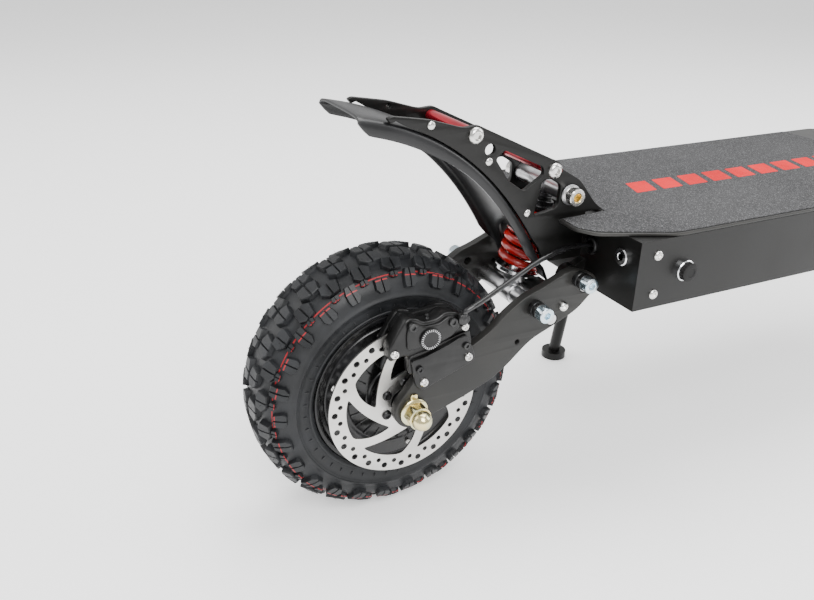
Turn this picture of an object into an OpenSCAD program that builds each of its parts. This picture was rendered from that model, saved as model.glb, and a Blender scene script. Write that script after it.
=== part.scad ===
// Electric kick scooter with knobbly hub-motor wheels, sprung swing arms and a folding stem.
// Row frame: +X forward, +Y left, +Z up, origin on the ground midway between the axles.
// Each end is drawn about its own axle, with +X towards the deck, and the front is mirrored.

/* [Overall] */
// Distance between the two axles
wheelbase = 1060; // [960:5:1280]
// Height of the deck's walking surface above the axles
deck_top = 164.3; // [150:1:180]
// Width of the deck
deck_w = 261.4; // [200:1:320]
// Width across the ends of the handlebar grips
bar_w = 624; // [520:1:760]
// Length of the stem from the folding hinge to the handlebar
stem_l = 666; // [500:1:800]

/* [Wheels] */
// Outer radius of both tyres
tyre_r = 143; // [136:1:145]
// Width of a tyre
tyre_w = 90; // [80:1:91]
// Wall of a tyre
tyre_wall = 8; // [5:1:10]
// Radius of a brake rotor
rotor_r = 80; // [76:1:82]
// Thickness of a brake rotor
rotor_t = 2; // [1.6:0.1:2.4]
// Radius of the axle in its bearings
axle_r = 10; // [8:0.5:12]
// Radius of the axle's threaded ends
thread_r = 8; // [6:0.5:9]

/* [Suspension] */
// Thickness of a swing arm's side plates
arm_t = 10; // [6:1:12]
// Distance from the wheel's centre plane to the inside of the right arm
arm_right = 68; // [66:1:76]
// Distance from the wheel's centre plane to the inside of the left arm
arm_left = 54; // [54:1:70]
// Radius of the swing arm's pivot shaft
pivot_r = 7; // [5:0.5:8]
// Outer radius of the coil springs
spring_r = 24.5; // [20:0.5:25]
// Radius of the spring wire
wire_r = 3.6; // [2.5:0.1:4]
// Number of turns in a spring
coils = 5.5; // [4:0.5:7]
// Radius of the bolts through the damper eyes
eye_pin_r = 6; // [4:0.5:7]

/* [Fender carrier] */
// Thickness of the two carrier plates
carrier_t = 5.5; // [4:0.5:6]
// Distance across the outside of the carrier plates
carrier_w = 93; // [90:1:96]
// Radius of the red cross tubes
cross_r = 6; // [4:0.5:7]

/* [Deck box] */
// Height of the deck box
box_h = 72; // [60:1:80]
// Wall of the deck box
box_wall = 4; // [3:0.5:6]
// Thickness of the top plate
plate_t = 3.3; // [2:0.1:5]
// Thickness of the grip mat
mat_t = 1; // [0.8:0.1:2]

/* [Steering] */
// Backward lean of the steering axis, in degrees
rake = 12; // [8:1:16]
// Radius of the steerer tube
steerer_r = 15; // [12:0.5:16]
// Radius of the stem tube
stem_r = 21; // [18:0.5:24]
// Radius of the handlebar tube
bar_r = 11.1; // [9:0.1:13]
// Radius of the grips
grip_r = 16; // [14:0.5:18]

/* [Fits] */
// Radial clearance of shafts that turn in bores
run_gap = 0.05; // [0.02:0.01:0.1]
// Gap between faces of pieces that slide past each other
side_gap = 0.3; // [0.2:0.05:0.6]
// Radial clearance of bolts in their holes
bolt_gap = 0.1; // [0.05:0.05:0.3]

/* [Hidden] */
$fn = 64;
eps = 0.01;

// ---- places shared by both ends, seen from the side as [x, z] about the axle ----
pivot = [194, 98];            // swing arm pivot
eye_top = [187, 186];         // upper damper eye
eye_low = [156, 67];          // lower damper eye
bolt_a = [133.5, 85];         // rear clamp bolt of the arm
bolt_b = [184.5, 107.5];      // front clamp bolt of the arm
bolt_c = [168, 80];           // small bolt of the arm's bridge
pivot_lug_r = 12;
arm_nose_r = 14;
arm_heel_r = 19;
lug_in = 42;                  // inner face of the pivot lugs
lug_t = 10;
eye_half = 12;                // half width of the damper eyes
damper_l = norm(eye_top - eye_low);
damper_tilt = atan2(eye_top[0] - eye_low[0], eye_top[1] - eye_low[1]);

// ---- wheel ----
rim_seat_r = 88;
rim_lip_r = 97;
rim_lip_out = 40;
rim_lip_in = 36.2;
hub_face = 46;
hub_rim_inner = 78;
hub_boss_r = 30;
rotor_out = 59;               // outer face of the rotor, on the right
rotor_in = rotor_out - rotor_t;
left_boss = 50;
stator_r = 70;
stator_w = 52;
rotor_hole_r = 2.6;
rotor_rows = [[rotor_r - 5, 30], [rotor_r - 11.5, 30]];
rotor_ring_in = rotor_r - 17;
rotor_bolt_pcd = 22;
rotor_bolts = 6;
rotor_bore = 14.5;
shoulder_r = 13;

// ---- deck ----
box_back = 211.5;             // rear wall's outer face, from the rear axle
front_gap = 240;              // front wall's outer face, from the front axle
box_top = deck_top - mat_t - plate_t;
box_low = box_top - box_h;
box_l = wheelbase - box_back - front_gap;
deck_front = box_back + box_l;
carrier_out = carrier_w / 2;
carrier_in = carrier_out - carrier_t;
notch_y = 50;
notch_x = 229;

// ---- steering ----
crown_x = 70;                 // steering axis at the crown, behind the front axle
crown_z = 235;
crown_t = 20;
head_low = 22;
head_high = 152;
head_r = 24;
cup_t = 8;
cup_r = 18;
base_low = head_high + 2;
base_high = 202;
hinge_x = -36;                // folding hinge, behind the stem
hinge_z = 206;
hinge_lug_r = 9;
hinge_pin_r = 4;
hinge_cheek_in = 13;
hinge_cheek_t = 9;
bar_z = hinge_z + stem_l;
latch_x = 38;
latch_z = 186;
latch_pin_r = 3;

// ---- controls on the handlebar ----
grip_in = 182;
mount_y = 100;
mount_wide = 16;
mount_r = 16;
lever_pin = [34, 96];
lever_pin_r = 3;
lever_t = 10;
ring_in = 150;                // inner end of the display and switch clamps
ring_out = 178;
ring_r = 17;
dial = [-2, -142, 27];        // display dial: x, y, radius
dial_low = 13;
dial_high = 30;

// ---- helpers ----
module at_rear() translate([-wheelbase / 2, 0, tyre_r]) children();
module at_front() translate([wheelbase / 2, 0, tyre_r]) mirror([1, 0, 0]) children();
module at_stem()
  translate([wheelbase / 2 - crown_x, 0, tyre_r + crown_z]) rotate([0, -rake, 0]) children();
module slab(y0, y1) translate([0, y1, 0]) rotate([90, 0, 0]) linear_extrude(y1 - y0) children();
module rod_y(p, r, y0, y1)
  translate([p[0], y1, p[1]]) rotate([90, 0, 0]) cylinder(r = r, h = y1 - y0);
module spin_y() rotate([-90, 0, 0]) rotate_extrude() children();
module both_sides() { children(); mirror([0, 1, 0]) children(); }
module spot(p, r) translate(p) circle(r = r);

// =================== wheel ===================
function shape_pow(v, e) = sign(v) * pow(abs(v), e);
function tyre_point(t, drop) = [
  (tyre_r + rim_seat_r) / 2 + ((tyre_r - rim_seat_r) / 2 - drop) * shape_pow(sin(t), 0.9),
  (tyre_w / 2 - drop) * shape_pow(cos(t), 0.8)
];

module tyre() {
  first = -48;
  last = 228;
  step = 12;
  color("#1c1c1e") spin_y() polygon(concat(
    [for (t = [first:step:last]) tyre_point(t, 0)],
    [for (t = [last:-step:first]) tyre_point(t, tyre_wall)]
  ));
}

module hub_motor() {
  half = [[34, hub_face], [60, 44], [hub_rim_inner, 39], [84, rim_lip_in], [84, rim_lip_out],
          [rim_lip_r, rim_lip_out], [rim_lip_r, rim_lip_in], [90.5, 34], [85.5, 26], [82, 20]];
  cavity_r = stator_r + 4;
  cavity_w = stator_w / 2 + 5;
  color("#17181a") difference() {
    union() {
      spin_y() polygon(concat(
        [[0, hub_face]], half,
        [for (i = [len(half) - 1:-1:0]) [half[i][0], -half[i][1]]], [[0, -hub_face]]
      ));
      rod_y([0, 0], hub_boss_r, -rotor_in, -hub_face + eps);
      rod_y([0, 0], 22, hub_face - eps, left_boss);
    }
    rod_y([0, 0], axle_r + run_gap, -rotor_in - 1, left_boss + 1);
    spin_y() polygon([[0, -cavity_w], [cavity_r, -cavity_w], [cavity_r, cavity_w], [0, cavity_w]]);
    rotor_bolt_places() rod_y([0, 0], 2.5 + bolt_gap, -rotor_in - 1, -rotor_in + 9);
    cover_screw_places() rod_y([0, 0], 1.6 + bolt_gap, -rim_lip_out - 1, rim_lip_out + 1);
  }
}

module rotor_bolt_places()
  for (i = [0:rotor_bolts - 1]) rotate([0, 30 + i * 360 / rotor_bolts, 0])
    translate([rotor_bolt_pcd, 0, 0]) children();

module cover_screw_places()
  for (i = [0:11]) rotate([0, i * 30, 0]) translate([92.5, 0, 0]) children();

module rotor_spoke() {
  bend = 40;
  width = 5;
  intersection() {
    translate([bend - 4, 0]) difference() {
      circle(r = bend + width);
      circle(r = bend - width);
    }
    translate([0, -rotor_r]) square([rotor_r * 2, rotor_r]);
    circle(r = rotor_ring_in + 3);
  }
}

module rotor() {
  spokes = 6;
  color("#c9cbce") slab(-rotor_out, -rotor_in) difference() {
    union() {
      difference() {
        circle(r = rotor_r);
        circle(r = rotor_ring_in);
      }
      for (i = [0:spokes - 1]) rotate(i * 360 / spokes) rotor_spoke();
      circle(r = hub_boss_r - 1);
    }
    circle(r = rotor_bore);
    for (i = [0:rotor_bolts - 1]) rotate(-30 - i * 360 / rotor_bolts)
      translate([rotor_bolt_pcd, 0]) circle(r = 2.5 + bolt_gap);
    for (row = rotor_rows, i = [0:row[1] - 1]) rotate(i * 360 / row[1] + row[0])
      translate([row[0], 0]) circle(r = rotor_hole_r);
  }
}

module hub_screws() {
  color("#2b2c2f") rotor_bolt_places() {
    rod_y([0, 0], 2.5, -rotor_out - eps, -rotor_in + 8);
    rod_y([0, 0], 5, -rotor_out - 3, -rotor_out);
  }
  color("#c8c8c8") both_sides() cover_screw_places() {
    rod_y([0, 0], 1.6, rim_lip_out - 3.2, rim_lip_out + eps);
    rod_y([0, 0], 3.2, rim_lip_out, rim_lip_out + 1.6);
  }
}

module axle() {
  right = arm_right + arm_t;
  left = arm_left + arm_t;
  color("#26272a") {
    rod_y([0, 0], thread_r, -right - 19, -arm_right + eps);
    rod_y([0, 0], shoulder_r, -arm_right, -rotor_out - 0.6);
    rod_y([0, 0], axle_r, -rotor_out - 0.6 - eps, left_boss + 0.6);
    rod_y([0, 0], stator_r, -stator_w / 2, stator_w / 2);
    rod_y([0, 0], shoulder_r, left_boss + 0.6 - eps, arm_left);
    rod_y([0, 0], thread_r, arm_left - eps, left + 19);
  }
}

module axle_nut() {
  tab_t = 2.5;
  flange_t = 2;
  hex_h = 12;
  dome_r = 10;
  hex_r = 12.4;
  color("#c9b36a") {
    slab(-tab_t, 0) difference() {
      union() {
        circle(r = 14);
        translate([-3.5, 0]) square([7, 19]);
      }
      circle(r = thread_r + bolt_gap);
    }
    translate([0, -tab_t, 0]) difference() {
      union() {
        rod_y([0, 0], 14.5, -flange_t, 0);
        translate([0, -flange_t + eps, 0]) rotate([90, 0, 0]) cylinder(r = hex_r, h = hex_h, $fn = 6);
        rod_y([0, 0], dome_r, -flange_t - hex_h - 3, -flange_t - hex_h + eps);
        translate([0, -flange_t - hex_h - 3, 0]) sphere(r = dome_r);
      }
      rod_y([0, 0], thread_r + bolt_gap, -17.5, 1);
    }
  }
}

module axle_nuts() {
  translate([0, -arm_right - arm_t, 0]) axle_nut();
  mirror([0, 1, 0]) translate([0, -arm_left - arm_t, 0]) axle_nut();
}

// =================== swing arm ===================
arm_outline = [
  [12, -15], [39, -5], [64, 4], [87, 13], [104, 24], [116, 35], [132, 49], [155, 58],
  [187, 72], [201, 86], [199, 111], [176, 119], [138, 103], [121, 98], [99, 83], [86, 70],
  [66, 58], [56, 54.5], [5, 38.5], [-15, 12]
];

module arm_side(y0) slab(y0, y0 + arm_t) difference() {
  union() {
    polygon(arm_outline);
    circle(r = arm_heel_r);
    spot(pivot, arm_nose_r);
  }
  circle(r = thread_r + bolt_gap);
  spot(pivot, pivot_r + run_gap);
  spot(eye_low, eye_pin_r + bolt_gap);
  spot(bolt_a, 4 + bolt_gap);
  spot(bolt_b, 4 + bolt_gap);
  spot(bolt_c, 2.5 + bolt_gap);
  spot([116, 50], 2);
  spot([9, 32], 2.5 + bolt_gap);
  spot([57, 49], 2.5 + bolt_gap);
}

module swing_arm() color("#1b1b1c") {
  arm_side(-arm_right - arm_t);
  arm_side(arm_left);
  slab(-arm_right - eps, arm_left + eps) polygon([[170, 65.5], [187, 73], [188, 82], [170, 75]]);
}

module arm_bolt_set() {
  color("#1c1c1d") for (p = [bolt_a, bolt_b]) rod_y(p, 8.6, -12, 0);
  color("#9fb8c8") for (p = [bolt_a, bolt_b]) {
    rod_y(p, 8, -22, -12 + eps);
    rod_y(p, 4, -12, arm_t);
  }
  color("#c8c8c8") {
    rod_y(bolt_c, 5.2, -4.5, 0);
    rod_y(bolt_c, 2.5, -eps, arm_t);
  }
}

module arm_bolts() {
  translate([0, -arm_right - arm_t, 0]) arm_bolt_set();
  mirror([0, 1, 0]) translate([0, -arm_left - arm_t, 0]) arm_bolt_set();
  color("#8d8f92") {
    rod_y(eye_low, eye_pin_r, -arm_right - arm_t, arm_left + arm_t);
    rod_y(eye_low, 9, -arm_right, -eye_half - side_gap);
    rod_y(eye_low, 9, eye_half + side_gap, arm_left);
  }
}

// =================== damper and spring ===================
module on_damper() translate([eye_top[0], 0, eye_top[1]]) rotate([0, damper_tilt, 0]) children();
seat_top = -22;
seat_t = 5;
spring_top = seat_top - seat_t;
low_seat = -95;
rod_r = 6;
tube_end = -66;
tube_r = 13.5;

module damper_eye(z) translate([0, 0, z]) rod_y([0, 0], 11, -eye_half, eye_half);
module eye_bore(z)
  translate([0, 0, z]) rod_y([0, 0], eye_pin_r + run_gap, -eye_half - 1, eye_half + 1);

module damper_body() color("#202124") on_damper() difference() {
  union() {
    damper_eye(0);
    translate([0, 0, tube_end]) cylinder(r = tube_r, h = -tube_end - 9.5);
    translate([0, 0, spring_top]) cylinder(r = spring_r, h = seat_t);
    translate([0, 0, seat_top - eps]) cylinder(r = 17, h = 5);
  }
  eye_bore(0);
  translate([0, 0, tube_end - 1]) cylinder(r = rod_r + 0.9, h = 42);
}

module damper_rod() color("#c4c6c9") on_damper() difference() {
  union() {
    damper_eye(-damper_l);
    translate([0, 0, -damper_l + 8]) cylinder(r = rod_r, h = 68);
    translate([0, 0, low_seat - seat_t]) cylinder(r = spring_r, h = seat_t);
    translate([0, 0, low_seat - seat_t - 9]) cylinder(r = 12, h = 9 + eps);
  }
  eye_bore(-damper_l);
}

module spring() {
  sides = 8;
  per_turn = 18;
  rings = round(coils * per_turn);
  low = low_seat + wire_r + 0.2;
  high = spring_top - wire_r - 0.2;
  mean = spring_r - wire_r;
  function ring_centre(i) = [
    mean * cos(i * 360 / per_turn), mean * sin(i * 360 / per_turn), low + (high - low) * i / rings
  ];
  slope = atan2(high - low, 2 * PI * mean * coils);
  points = [for (i = [0:rings], k = [0:sides - 1])
    let (a = i * 360 / per_turn, b = k * 360 / sides)
    ring_centre(i) + wire_r * cos(b) * [cos(a), sin(a), 0]
      + wire_r * sin(b) * [sin(a) * sin(slope), -cos(a) * sin(slope), cos(slope)]];
  walls = [for (i = [0:rings - 1], k = [0:sides - 1])
    let (j = (k + 1) % sides)
    [i * sides + k, (i + 1) * sides + k, (i + 1) * sides + j, i * sides + j]];
  ends = [[for (k = [0:sides - 1]) k], [for (k = [sides - 1:-1:0]) rings * sides + k]];
  color("#b3201c") on_damper() polyhedron(points, concat(walls, ends), convexity = 10);
}

// =================== brake ===================
bracket_t = 4;
caliper_outline = [
  [-25, 58], [-25, 73], [-17, 88], [-6, 101], [5, 97], [30, 100], [44, 98], [58, 88],
  [60, 80], [55, 74.5], [47, 73.5], [36, 68.5], [20, 63.5], [9, 60.5], [-5, 58.5]
];

module caliper() {
  outer = 80;
  shoe = rotor_out + 1.6;
  inner = rotor_in - 1.6;
  color("#141415") difference() {
    union() {
      slab(-outer, -shoe) polygon(caliper_outline);
      slab(-inner, -hub_face - 1.6) intersection() {
        polygon(caliper_outline);
        difference() {
          circle(r = 106);
          circle(r = 62);
        }
      }
      slab(-shoe - eps, -inner + eps) difference() {
        polygon(caliper_outline);
        circle(r = rotor_r + 2.5);
      }
      slab(-arm_right - arm_t + 0.2, -arm_right + 2)
        polygon([[-5, 60], [-5, 40.5], [4, 40.3], [56, 57.5], [64, 60], [60, 76], [20, 66]]);
      rod_y([15, 75], 11, -outer - 3, -outer + eps);
      rod_y([50, 91], 6, -outer - 4, -outer + eps);
    }
    slab(-shoe, -inner) circle(r = rotor_r + 2.5);
    rod_y([4, 47], 2 + bolt_gap, -outer, -arm_right + 3);
    rod_y([54, 62], 2 + bolt_gap, -outer, -arm_right + 3);
  }
}

module caliper_bracket() {
  face = arm_right + arm_t;
  color("#161617") difference() {
    slab(-face - bracket_t, -face) polygon([
      [-5, 57], [9, 59], [20, 62], [36, 67], [47, 72], [55, 73], [60, 61], [65, 49], [62, 42],
      [20, 27.5], [8, 22], [1, 28]
    ]);
    for (p = [[9, 32], [57, 49]]) rod_y(p, 2.5 + bolt_gap, -face - bracket_t - 1, -face + 1);
    for (p = [[4, 47], [54, 62]]) rod_y(p, 2 + bolt_gap, -face - bracket_t - 1, -face + 1);
  }
  color("#c8c8c8") for (p = [[9, 32], [57, 49]]) {
    rod_y(p, 2.5, -face - bracket_t - eps, -arm_right - 1);
    rod_y(p, 4.5, -face - bracket_t - 3, -face - bracket_t);
  }
  color("#1a1a1a") for (p = [[4, 47], [54, 62]]) {
    rod_y(p, 2, -face - bracket_t - eps, -arm_right - 1);
    rod_y(p, 3.6, -face - bracket_t - 2.5, -face - bracket_t);
  }
}

// Route of the rear brake hose, about the rear axle
hose_r = 2.6;
hose_route = [
  [50, -82, 97.2], [50.5, -83, 100], [55, -84.5, 103], [64, -84, 104], [76, -82, 105], [90, -79, 108],
  [106, -76, 115], [122, -73, 123], [138, -69, 130], [156, -65, 134], [174, -62, 136],
  [190, -61, 135], [205, -60, 134], [220, -60, 133], [240, -60, 132]
];

function unit(v) = v / norm(v);
module hose() {
  sides = 10;
  n = len(hose_route);
  ahead = [for (i = [0:n - 1]) unit(hose_route[min(i + 1, n - 1)] - hose_route[max(i - 1, 0)])];
  across = [for (d = ahead) unit(cross(d, [0, 1, 0]))];
  rise = [for (i = [0:n - 1]) cross(ahead[i], across[i])];
  points = [for (i = [0:n - 1], k = [0:sides - 1])
    hose_route[i] + hose_r * (cos(k * 360 / sides) * across[i] + sin(k * 360 / sides) * rise[i])];
  walls = [for (i = [0:n - 2], k = [0:sides - 1])
    let (j = (k + 1) % sides)
    [i * sides + j, (i + 1) * sides + j, (i + 1) * sides + k, i * sides + k]];
  ends = [[for (k = [sides - 1:-1:0]) k], [for (k = [0:sides - 1]) (n - 1) * sides + k]];
  color("#18181a") polyhedron(points, concat(walls, ends), convexity = 6);
}

// =================== rear fender and its carrier ===================
fender_curve = [[-41, 281], [52, 269], [122, 209], [173, 97]];
skirt_depth = 17;
skirt_t = 3;
cross_a = [73, 256];
cross_b = [165, 213];
carrier_screws = [[89, 230], [27, 269], [137, 173]];

function curve_at(c, t) = pow(1 - t, 3) * c[0] + 3 * pow(1 - t, 2) * t * c[1]
  + 3 * (1 - t) * t * t * c[2] + pow(t, 3) * c[3];
function curve_normal(c, t) =
  let (d = unit(curve_at(c, min(t + 0.01, 1)) - curve_at(c, max(t - 0.01, 0)))) [d[1], -d[0]];
function fender_line(depth, from, to, n) = [for (i = [0:n])
  let (t = from + (to - from) * i / n) curve_at(fender_curve, t) + depth * curve_normal(fender_curve, t)];

module fender_band(depth0, depth1, from, to)
  polygon(concat(fender_line(depth0, from, to, 18), fender_line(depth1, to, from, 18)));

module rear_fender() color("#2a2b2d") difference() {
  union() {
    slab(-carrier_out - 0.5, carrier_out + 0.5) fender_band(0.2, 3.4, 0, 1);
    both_sides() slab(carrier_out + 0.5 - skirt_t, carrier_out + 0.5) fender_band(0.2, skirt_depth, 0.03, 0.86);
  }
  on_damper() translate([0, 0, -110]) cylinder(r = spring_r + 5, h = 100);
}

carrier_outline = [
  [-17, 278], [-11, 280], [26, 274], [60, 264], [82, 257], [100, 248], [135, 233], [156, 222.5],
  [173, 214], [198, 200], [208, 188], [220, 173], [231, 164.6], [209, 164.6], [209, 116],
  [173, 116], [162, 119]
];

module fender_carrier() color("#161617") both_sides() slab(carrier_in, carrier_out) difference() {
  union() {
    polygon(concat(carrier_outline, fender_line(0, 0.885, 0.125, 14)));
    spot(cross_a, 9.5);
    spot(cross_b, 9.5);
  }
  spot(cross_a, 4 + bolt_gap);
  spot(cross_b, 4 + bolt_gap);
  spot(eye_top, eye_pin_r + bolt_gap);
  spot([90, 241], 5.5);
  for (p = carrier_screws) spot(p, 2 + bolt_gap);
  polygon([[97, 229], [105, 235], [153, 211.5], [152, 208], [131, 196], [113, 208.5]]);
  polygon([[155, 202], [177, 190], [170, 176], [147, 173]]);
}

module cross_tubes() color("#a3182a") for (p = [cross_a, cross_b]) difference() {
  rod_y(p, cross_r, -carrier_in, carrier_in);
  both_sides() rod_y(p, 4 + bolt_gap, -carrier_in - 1, -carrier_in + 16);
}

module carrier_bolts() color("#c8c8c8") both_sides() {
  for (p = [cross_a, cross_b]) {
    rod_y(p, 4, -carrier_out - eps, -carrier_in + 14);
    rod_y(p, 8, -carrier_out - 4.5, -carrier_out);
  }
  for (p = carrier_screws) {
    rod_y(p, 2, -carrier_out - eps, -carrier_in);
    rod_y(p, 4, -carrier_out - 2, -carrier_out);
  }
}

// Two stub shafts that carry the arm on its lugs, and the bolt through the upper damper eye with its collars
module pivot_pins(plate_in, plate_out) {
  color("#8d8f92") {
    rod_y(pivot, pivot_r, -arm_right - arm_t, -lug_in + 4);
    rod_y(pivot, pivot_r, lug_in - 4, arm_left + arm_t);
    rod_y(pivot, pivot_r + 3, -arm_right + side_gap, -lug_in - lug_t);
    rod_y(pivot, pivot_r + 3, lug_in + lug_t, arm_left - side_gap);
  }
  color("#c4c6c9") {
    rod_y(eye_top, eye_pin_r, -plate_out - 4, plate_out + 4);
    both_sides() rod_y(eye_top, eye_pin_r + 3, -plate_in, -eye_half - side_gap);
    both_sides() rod_y(eye_top, 9, -plate_out - 13, -plate_out - 3);
    both_sides() rod_y(eye_top, 10.5, -plate_out - 3 - eps, -plate_out);
  }
}

module lug_bores() {
  rod_y(pivot, pivot_r + bolt_gap, -lug_in - lug_t - 1, lug_in + lug_t + 1);
}

// =================== deck ===================
lug_outline = [[box_back + 2, 88], [box_back + 2, 116], [200, 110], [pivot[0], pivot[1]], [197, 86.5]];
side_screws = [[234, 144], [235, 103]];
port = [271, 123];
gland = [-107, 138];          // chrome ring on the rear wall, as [y, z]
hose_hole = [-60, 133];
deck_mid = (box_back + deck_front) / 2;
neck_foot = front_gap + 2;    // near edge of the neck's foot, behind the front axle
neck_foot_l = 116;
kick_x = deck_mid - 160;      // kickstand's place along the deck, from the rear axle
kick_y = 122;
kick_z = box_low - 12;
kick_pin_r = 5;

function mirrored(p) = concat(p, [for (i = [len(p) - 1:-1:0]) [p[i][0], -p[i][1]]]);
function plate_outline(inset) = mirrored([
  [notch_x + inset, -notch_y], [173 + inset, -notch_y - inset], [171 + inset, -notch_y - 29],
  [182.5 + inset, 99 - 198 + inset], [257, -deck_w / 2 + inset],
  [deck_front - 70, -deck_w / 2 + inset], [deck_front - inset, -deck_w / 2 + 45]
]);
module side_screw_places() both_sides() {
  for (p = side_screws) translate([p[0], -deck_w / 2, p[1]]) children();
  for (p = side_screws) translate([deck_front - p[0] + box_back - 50, -deck_w / 2, p[1]]) children();
}

module deck_frame() color("#1a1a1b") at_rear() difference() {
  union() {
    difference() {
      translate([box_back, -deck_w / 2, box_low]) cube([box_l, deck_w, box_h]);
      translate([box_back + box_wall, -deck_w / 2 + box_wall, box_low + box_wall])
        cube([box_l - 2 * box_wall, deck_w - 2 * box_wall, box_h]);
      translate([deck_front - 70, -deck_w / 2, 0]) front_corner_cut();
      mirror([0, 1, 0]) translate([deck_front - 70, -deck_w / 2, 0]) front_corner_cut();
    }
    translate([box_back, -notch_y - 4, box_top - 3]) cube([notch_x - box_back + 14, 2 * notch_y + 8, 3]);
    both_sides() translate([deck_front - 70, -deck_w / 2, box_low]) front_corner_wall();
    both_sides() slab(lug_in, lug_in + lug_t) union() {
      polygon(lug_outline);
      spot(pivot, pivot_lug_r);
    }
    translate([kick_x - 15, kick_y - 16, kick_z - 9]) cube([30, 14, 21 + eps]);
  }
  lug_bores();
  side_screw_places() rotate([90, 0, 0]) cylinder(r = 2.5 + bolt_gap, h = 20, center = true);
  rod_y(port, 8 + bolt_gap, -deck_w / 2 - 1, -deck_w / 2 + box_wall + 1);
  for (p = [gland, hose_hole]) translate([box_back - 1, p[0], p[1]]) rotate([0, 90, 0])
    cylinder(r = 7 + bolt_gap, h = box_wall + 2);
  rod_y([kick_x, kick_z], kick_pin_r + bolt_gap, kick_y - 17, kick_y);
}

module front_corner_cut() linear_extrude(tyre_r * 2)
  polygon([[0, -1], [71, -1], [71, 45], [0, 0]]);
module front_corner_wall() linear_extrude(box_h)
  polygon([[0, 0], [70, 45], [70, 45 + box_wall * 1.3], [0, box_wall * 1.3]]);

module deck_plate() color("#202022") at_rear() translate([0, 0, box_top])
  linear_extrude(plate_t) polygon(plate_outline(0));

// The mat stops short of the neck's foot, which stands on the plate
module grip_mat() color("#3b3b3d") at_rear() translate([0, 0, box_top + plate_t])
  linear_extrude(mat_t) intersection() {
    polygon(plate_outline(2.5));
    translate([0, -deck_w / 2]) square([wheelbase - neck_foot - neck_foot_l - 6, deck_w]);
  }

module battery_pack() {
  pack = [box_l * 0.55, deck_w - 2 * box_wall - 24, box_h - box_wall - 14];
  color("#2c4f7c") at_rear()
    translate([deck_mid - pack[0] / 2 + 40, -pack[1] / 2, box_low + box_wall]) cube(pack);
}

module controllers() {
  size = [box_l * 0.14, deck_w * 0.34, 34];
  color("#8f9296") at_rear() both_sides()
    translate([box_back + box_wall + 45, 8, box_low + box_wall]) cube(size);
}

module frame_screws() color("#c8c8c8") at_rear() side_screw_places() {
  rod_y([0, 0], 2.5, -eps, box_wall + 3);
  rod_y([0, 0], 5.2, -2.6, 0);
}

module panel_rings() {
  wall = deck_w / 2;
  color("#c4c6c9") at_rear() {
    difference() {
      union() {
        rod_y(port, 11, -wall - 4, -wall);
        rod_y(port, 8, -wall - eps, -wall + 12);
      }
      rod_y(port, 6.6, -wall - 5, -wall + 10);
    }
    for (p = [[gland, 9, 3.5], [hose_hole, 9.5, hose_r + 3]])
      translate([box_back, p[0][0], p[0][1]]) rotate([0, -90, 0]) difference() {
        union() {
          cylinder(r = p[1], h = 3.5);
          translate([0, 0, -box_wall - 2]) cylinder(r = 7, h = box_wall + 2 + eps);
        }
        translate([0, 0, -box_wall - 3]) cylinder(r = p[2], h = box_wall + 8);
      }
  }
}

module charge_cap() {
  wall = deck_w / 2;
  color("#101011") at_rear() {
    rod_y(port, 6.5, -wall - 4 - side_gap - eps, -wall + 8);
    rod_y(port, 8.6, -wall - 10, -wall - 4 - side_gap);
  }
}

module kickstand() {
  leg_r = 8;
  lean = 10;
  foot = [kick_x, kick_y + 16 + tan(lean) * (kick_z + tyre_r - 4), -tyre_r];
  color("#232325") at_rear() {
    rod_y([kick_x, kick_z], kick_pin_r, kick_y - 15, kick_y + 4);
    rod_y([kick_x, kick_z], 12, kick_y - 2 + side_gap, kick_y + 12);
    translate([kick_x, kick_y + 6, kick_z]) rotate([lean, 0, 0]) translate([0, 0, -(kick_z + tyre_r - 8) / cos(lean)])
      cylinder(r = leg_r, h = (kick_z + tyre_r - 8) / cos(lean));
    translate([kick_x, kick_y + 6 + tan(lean) * (kick_z + tyre_r - 6), -tyre_r]) cylinder(r = 17, h = 10);
  }
}

// =================== front frame and steering ===================
function crown_point(back, up) = [crown_x + back * cos(rake) + up * sin(rake),
                                  crown_z - back * sin(rake) + up * cos(rake)];

module neck() {
  half = 28;
  foot_x = front_gap + 4;
  foot_z = deck_top - mat_t;
  shape = [
    [foot_x, foot_z], [foot_x - 4, foot_z + 26], crown_point(146, 14.5), crown_point(60, 18),
    crown_point(15, 34), crown_point(15, 142), crown_point(34, 142), [foot_x + 96, foot_z]
  ];
  color("#19191a") difference() {
    union() {
      at_front() difference() {
        slab(-half, half) polygon(shape);
        for (side = [-1, 1]) translate([0, side * half, 0]) slab(-6, 6)
          polygon([[foot_x + 14, foot_z + 22], crown_point(118, 34), crown_point(44, 48),
                   crown_point(44, 112), [foot_x + 64, foot_z + 22]]);
      }
      at_front() translate([neck_foot, -half - 18, foot_z]) cube([neck_foot_l, 2 * half + 36, 8]);
      at_stem() translate([0, 0, head_low]) cylinder(r = head_r, h = head_high - head_low);
    }
    at_stem() translate([0, 0, head_low - 1]) cylinder(r = cup_r, h = head_high - head_low + 2);
  }
}

module headset() color("#9b9da0") at_stem() for (z = [head_low, head_high - cup_t])
  translate([0, 0, z]) difference() {
    cylinder(r = cup_r - eps, h = cup_t);
    translate([0, 0, -1]) cylinder(r = steerer_r + run_gap, h = cup_t + 2);
  }

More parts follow.
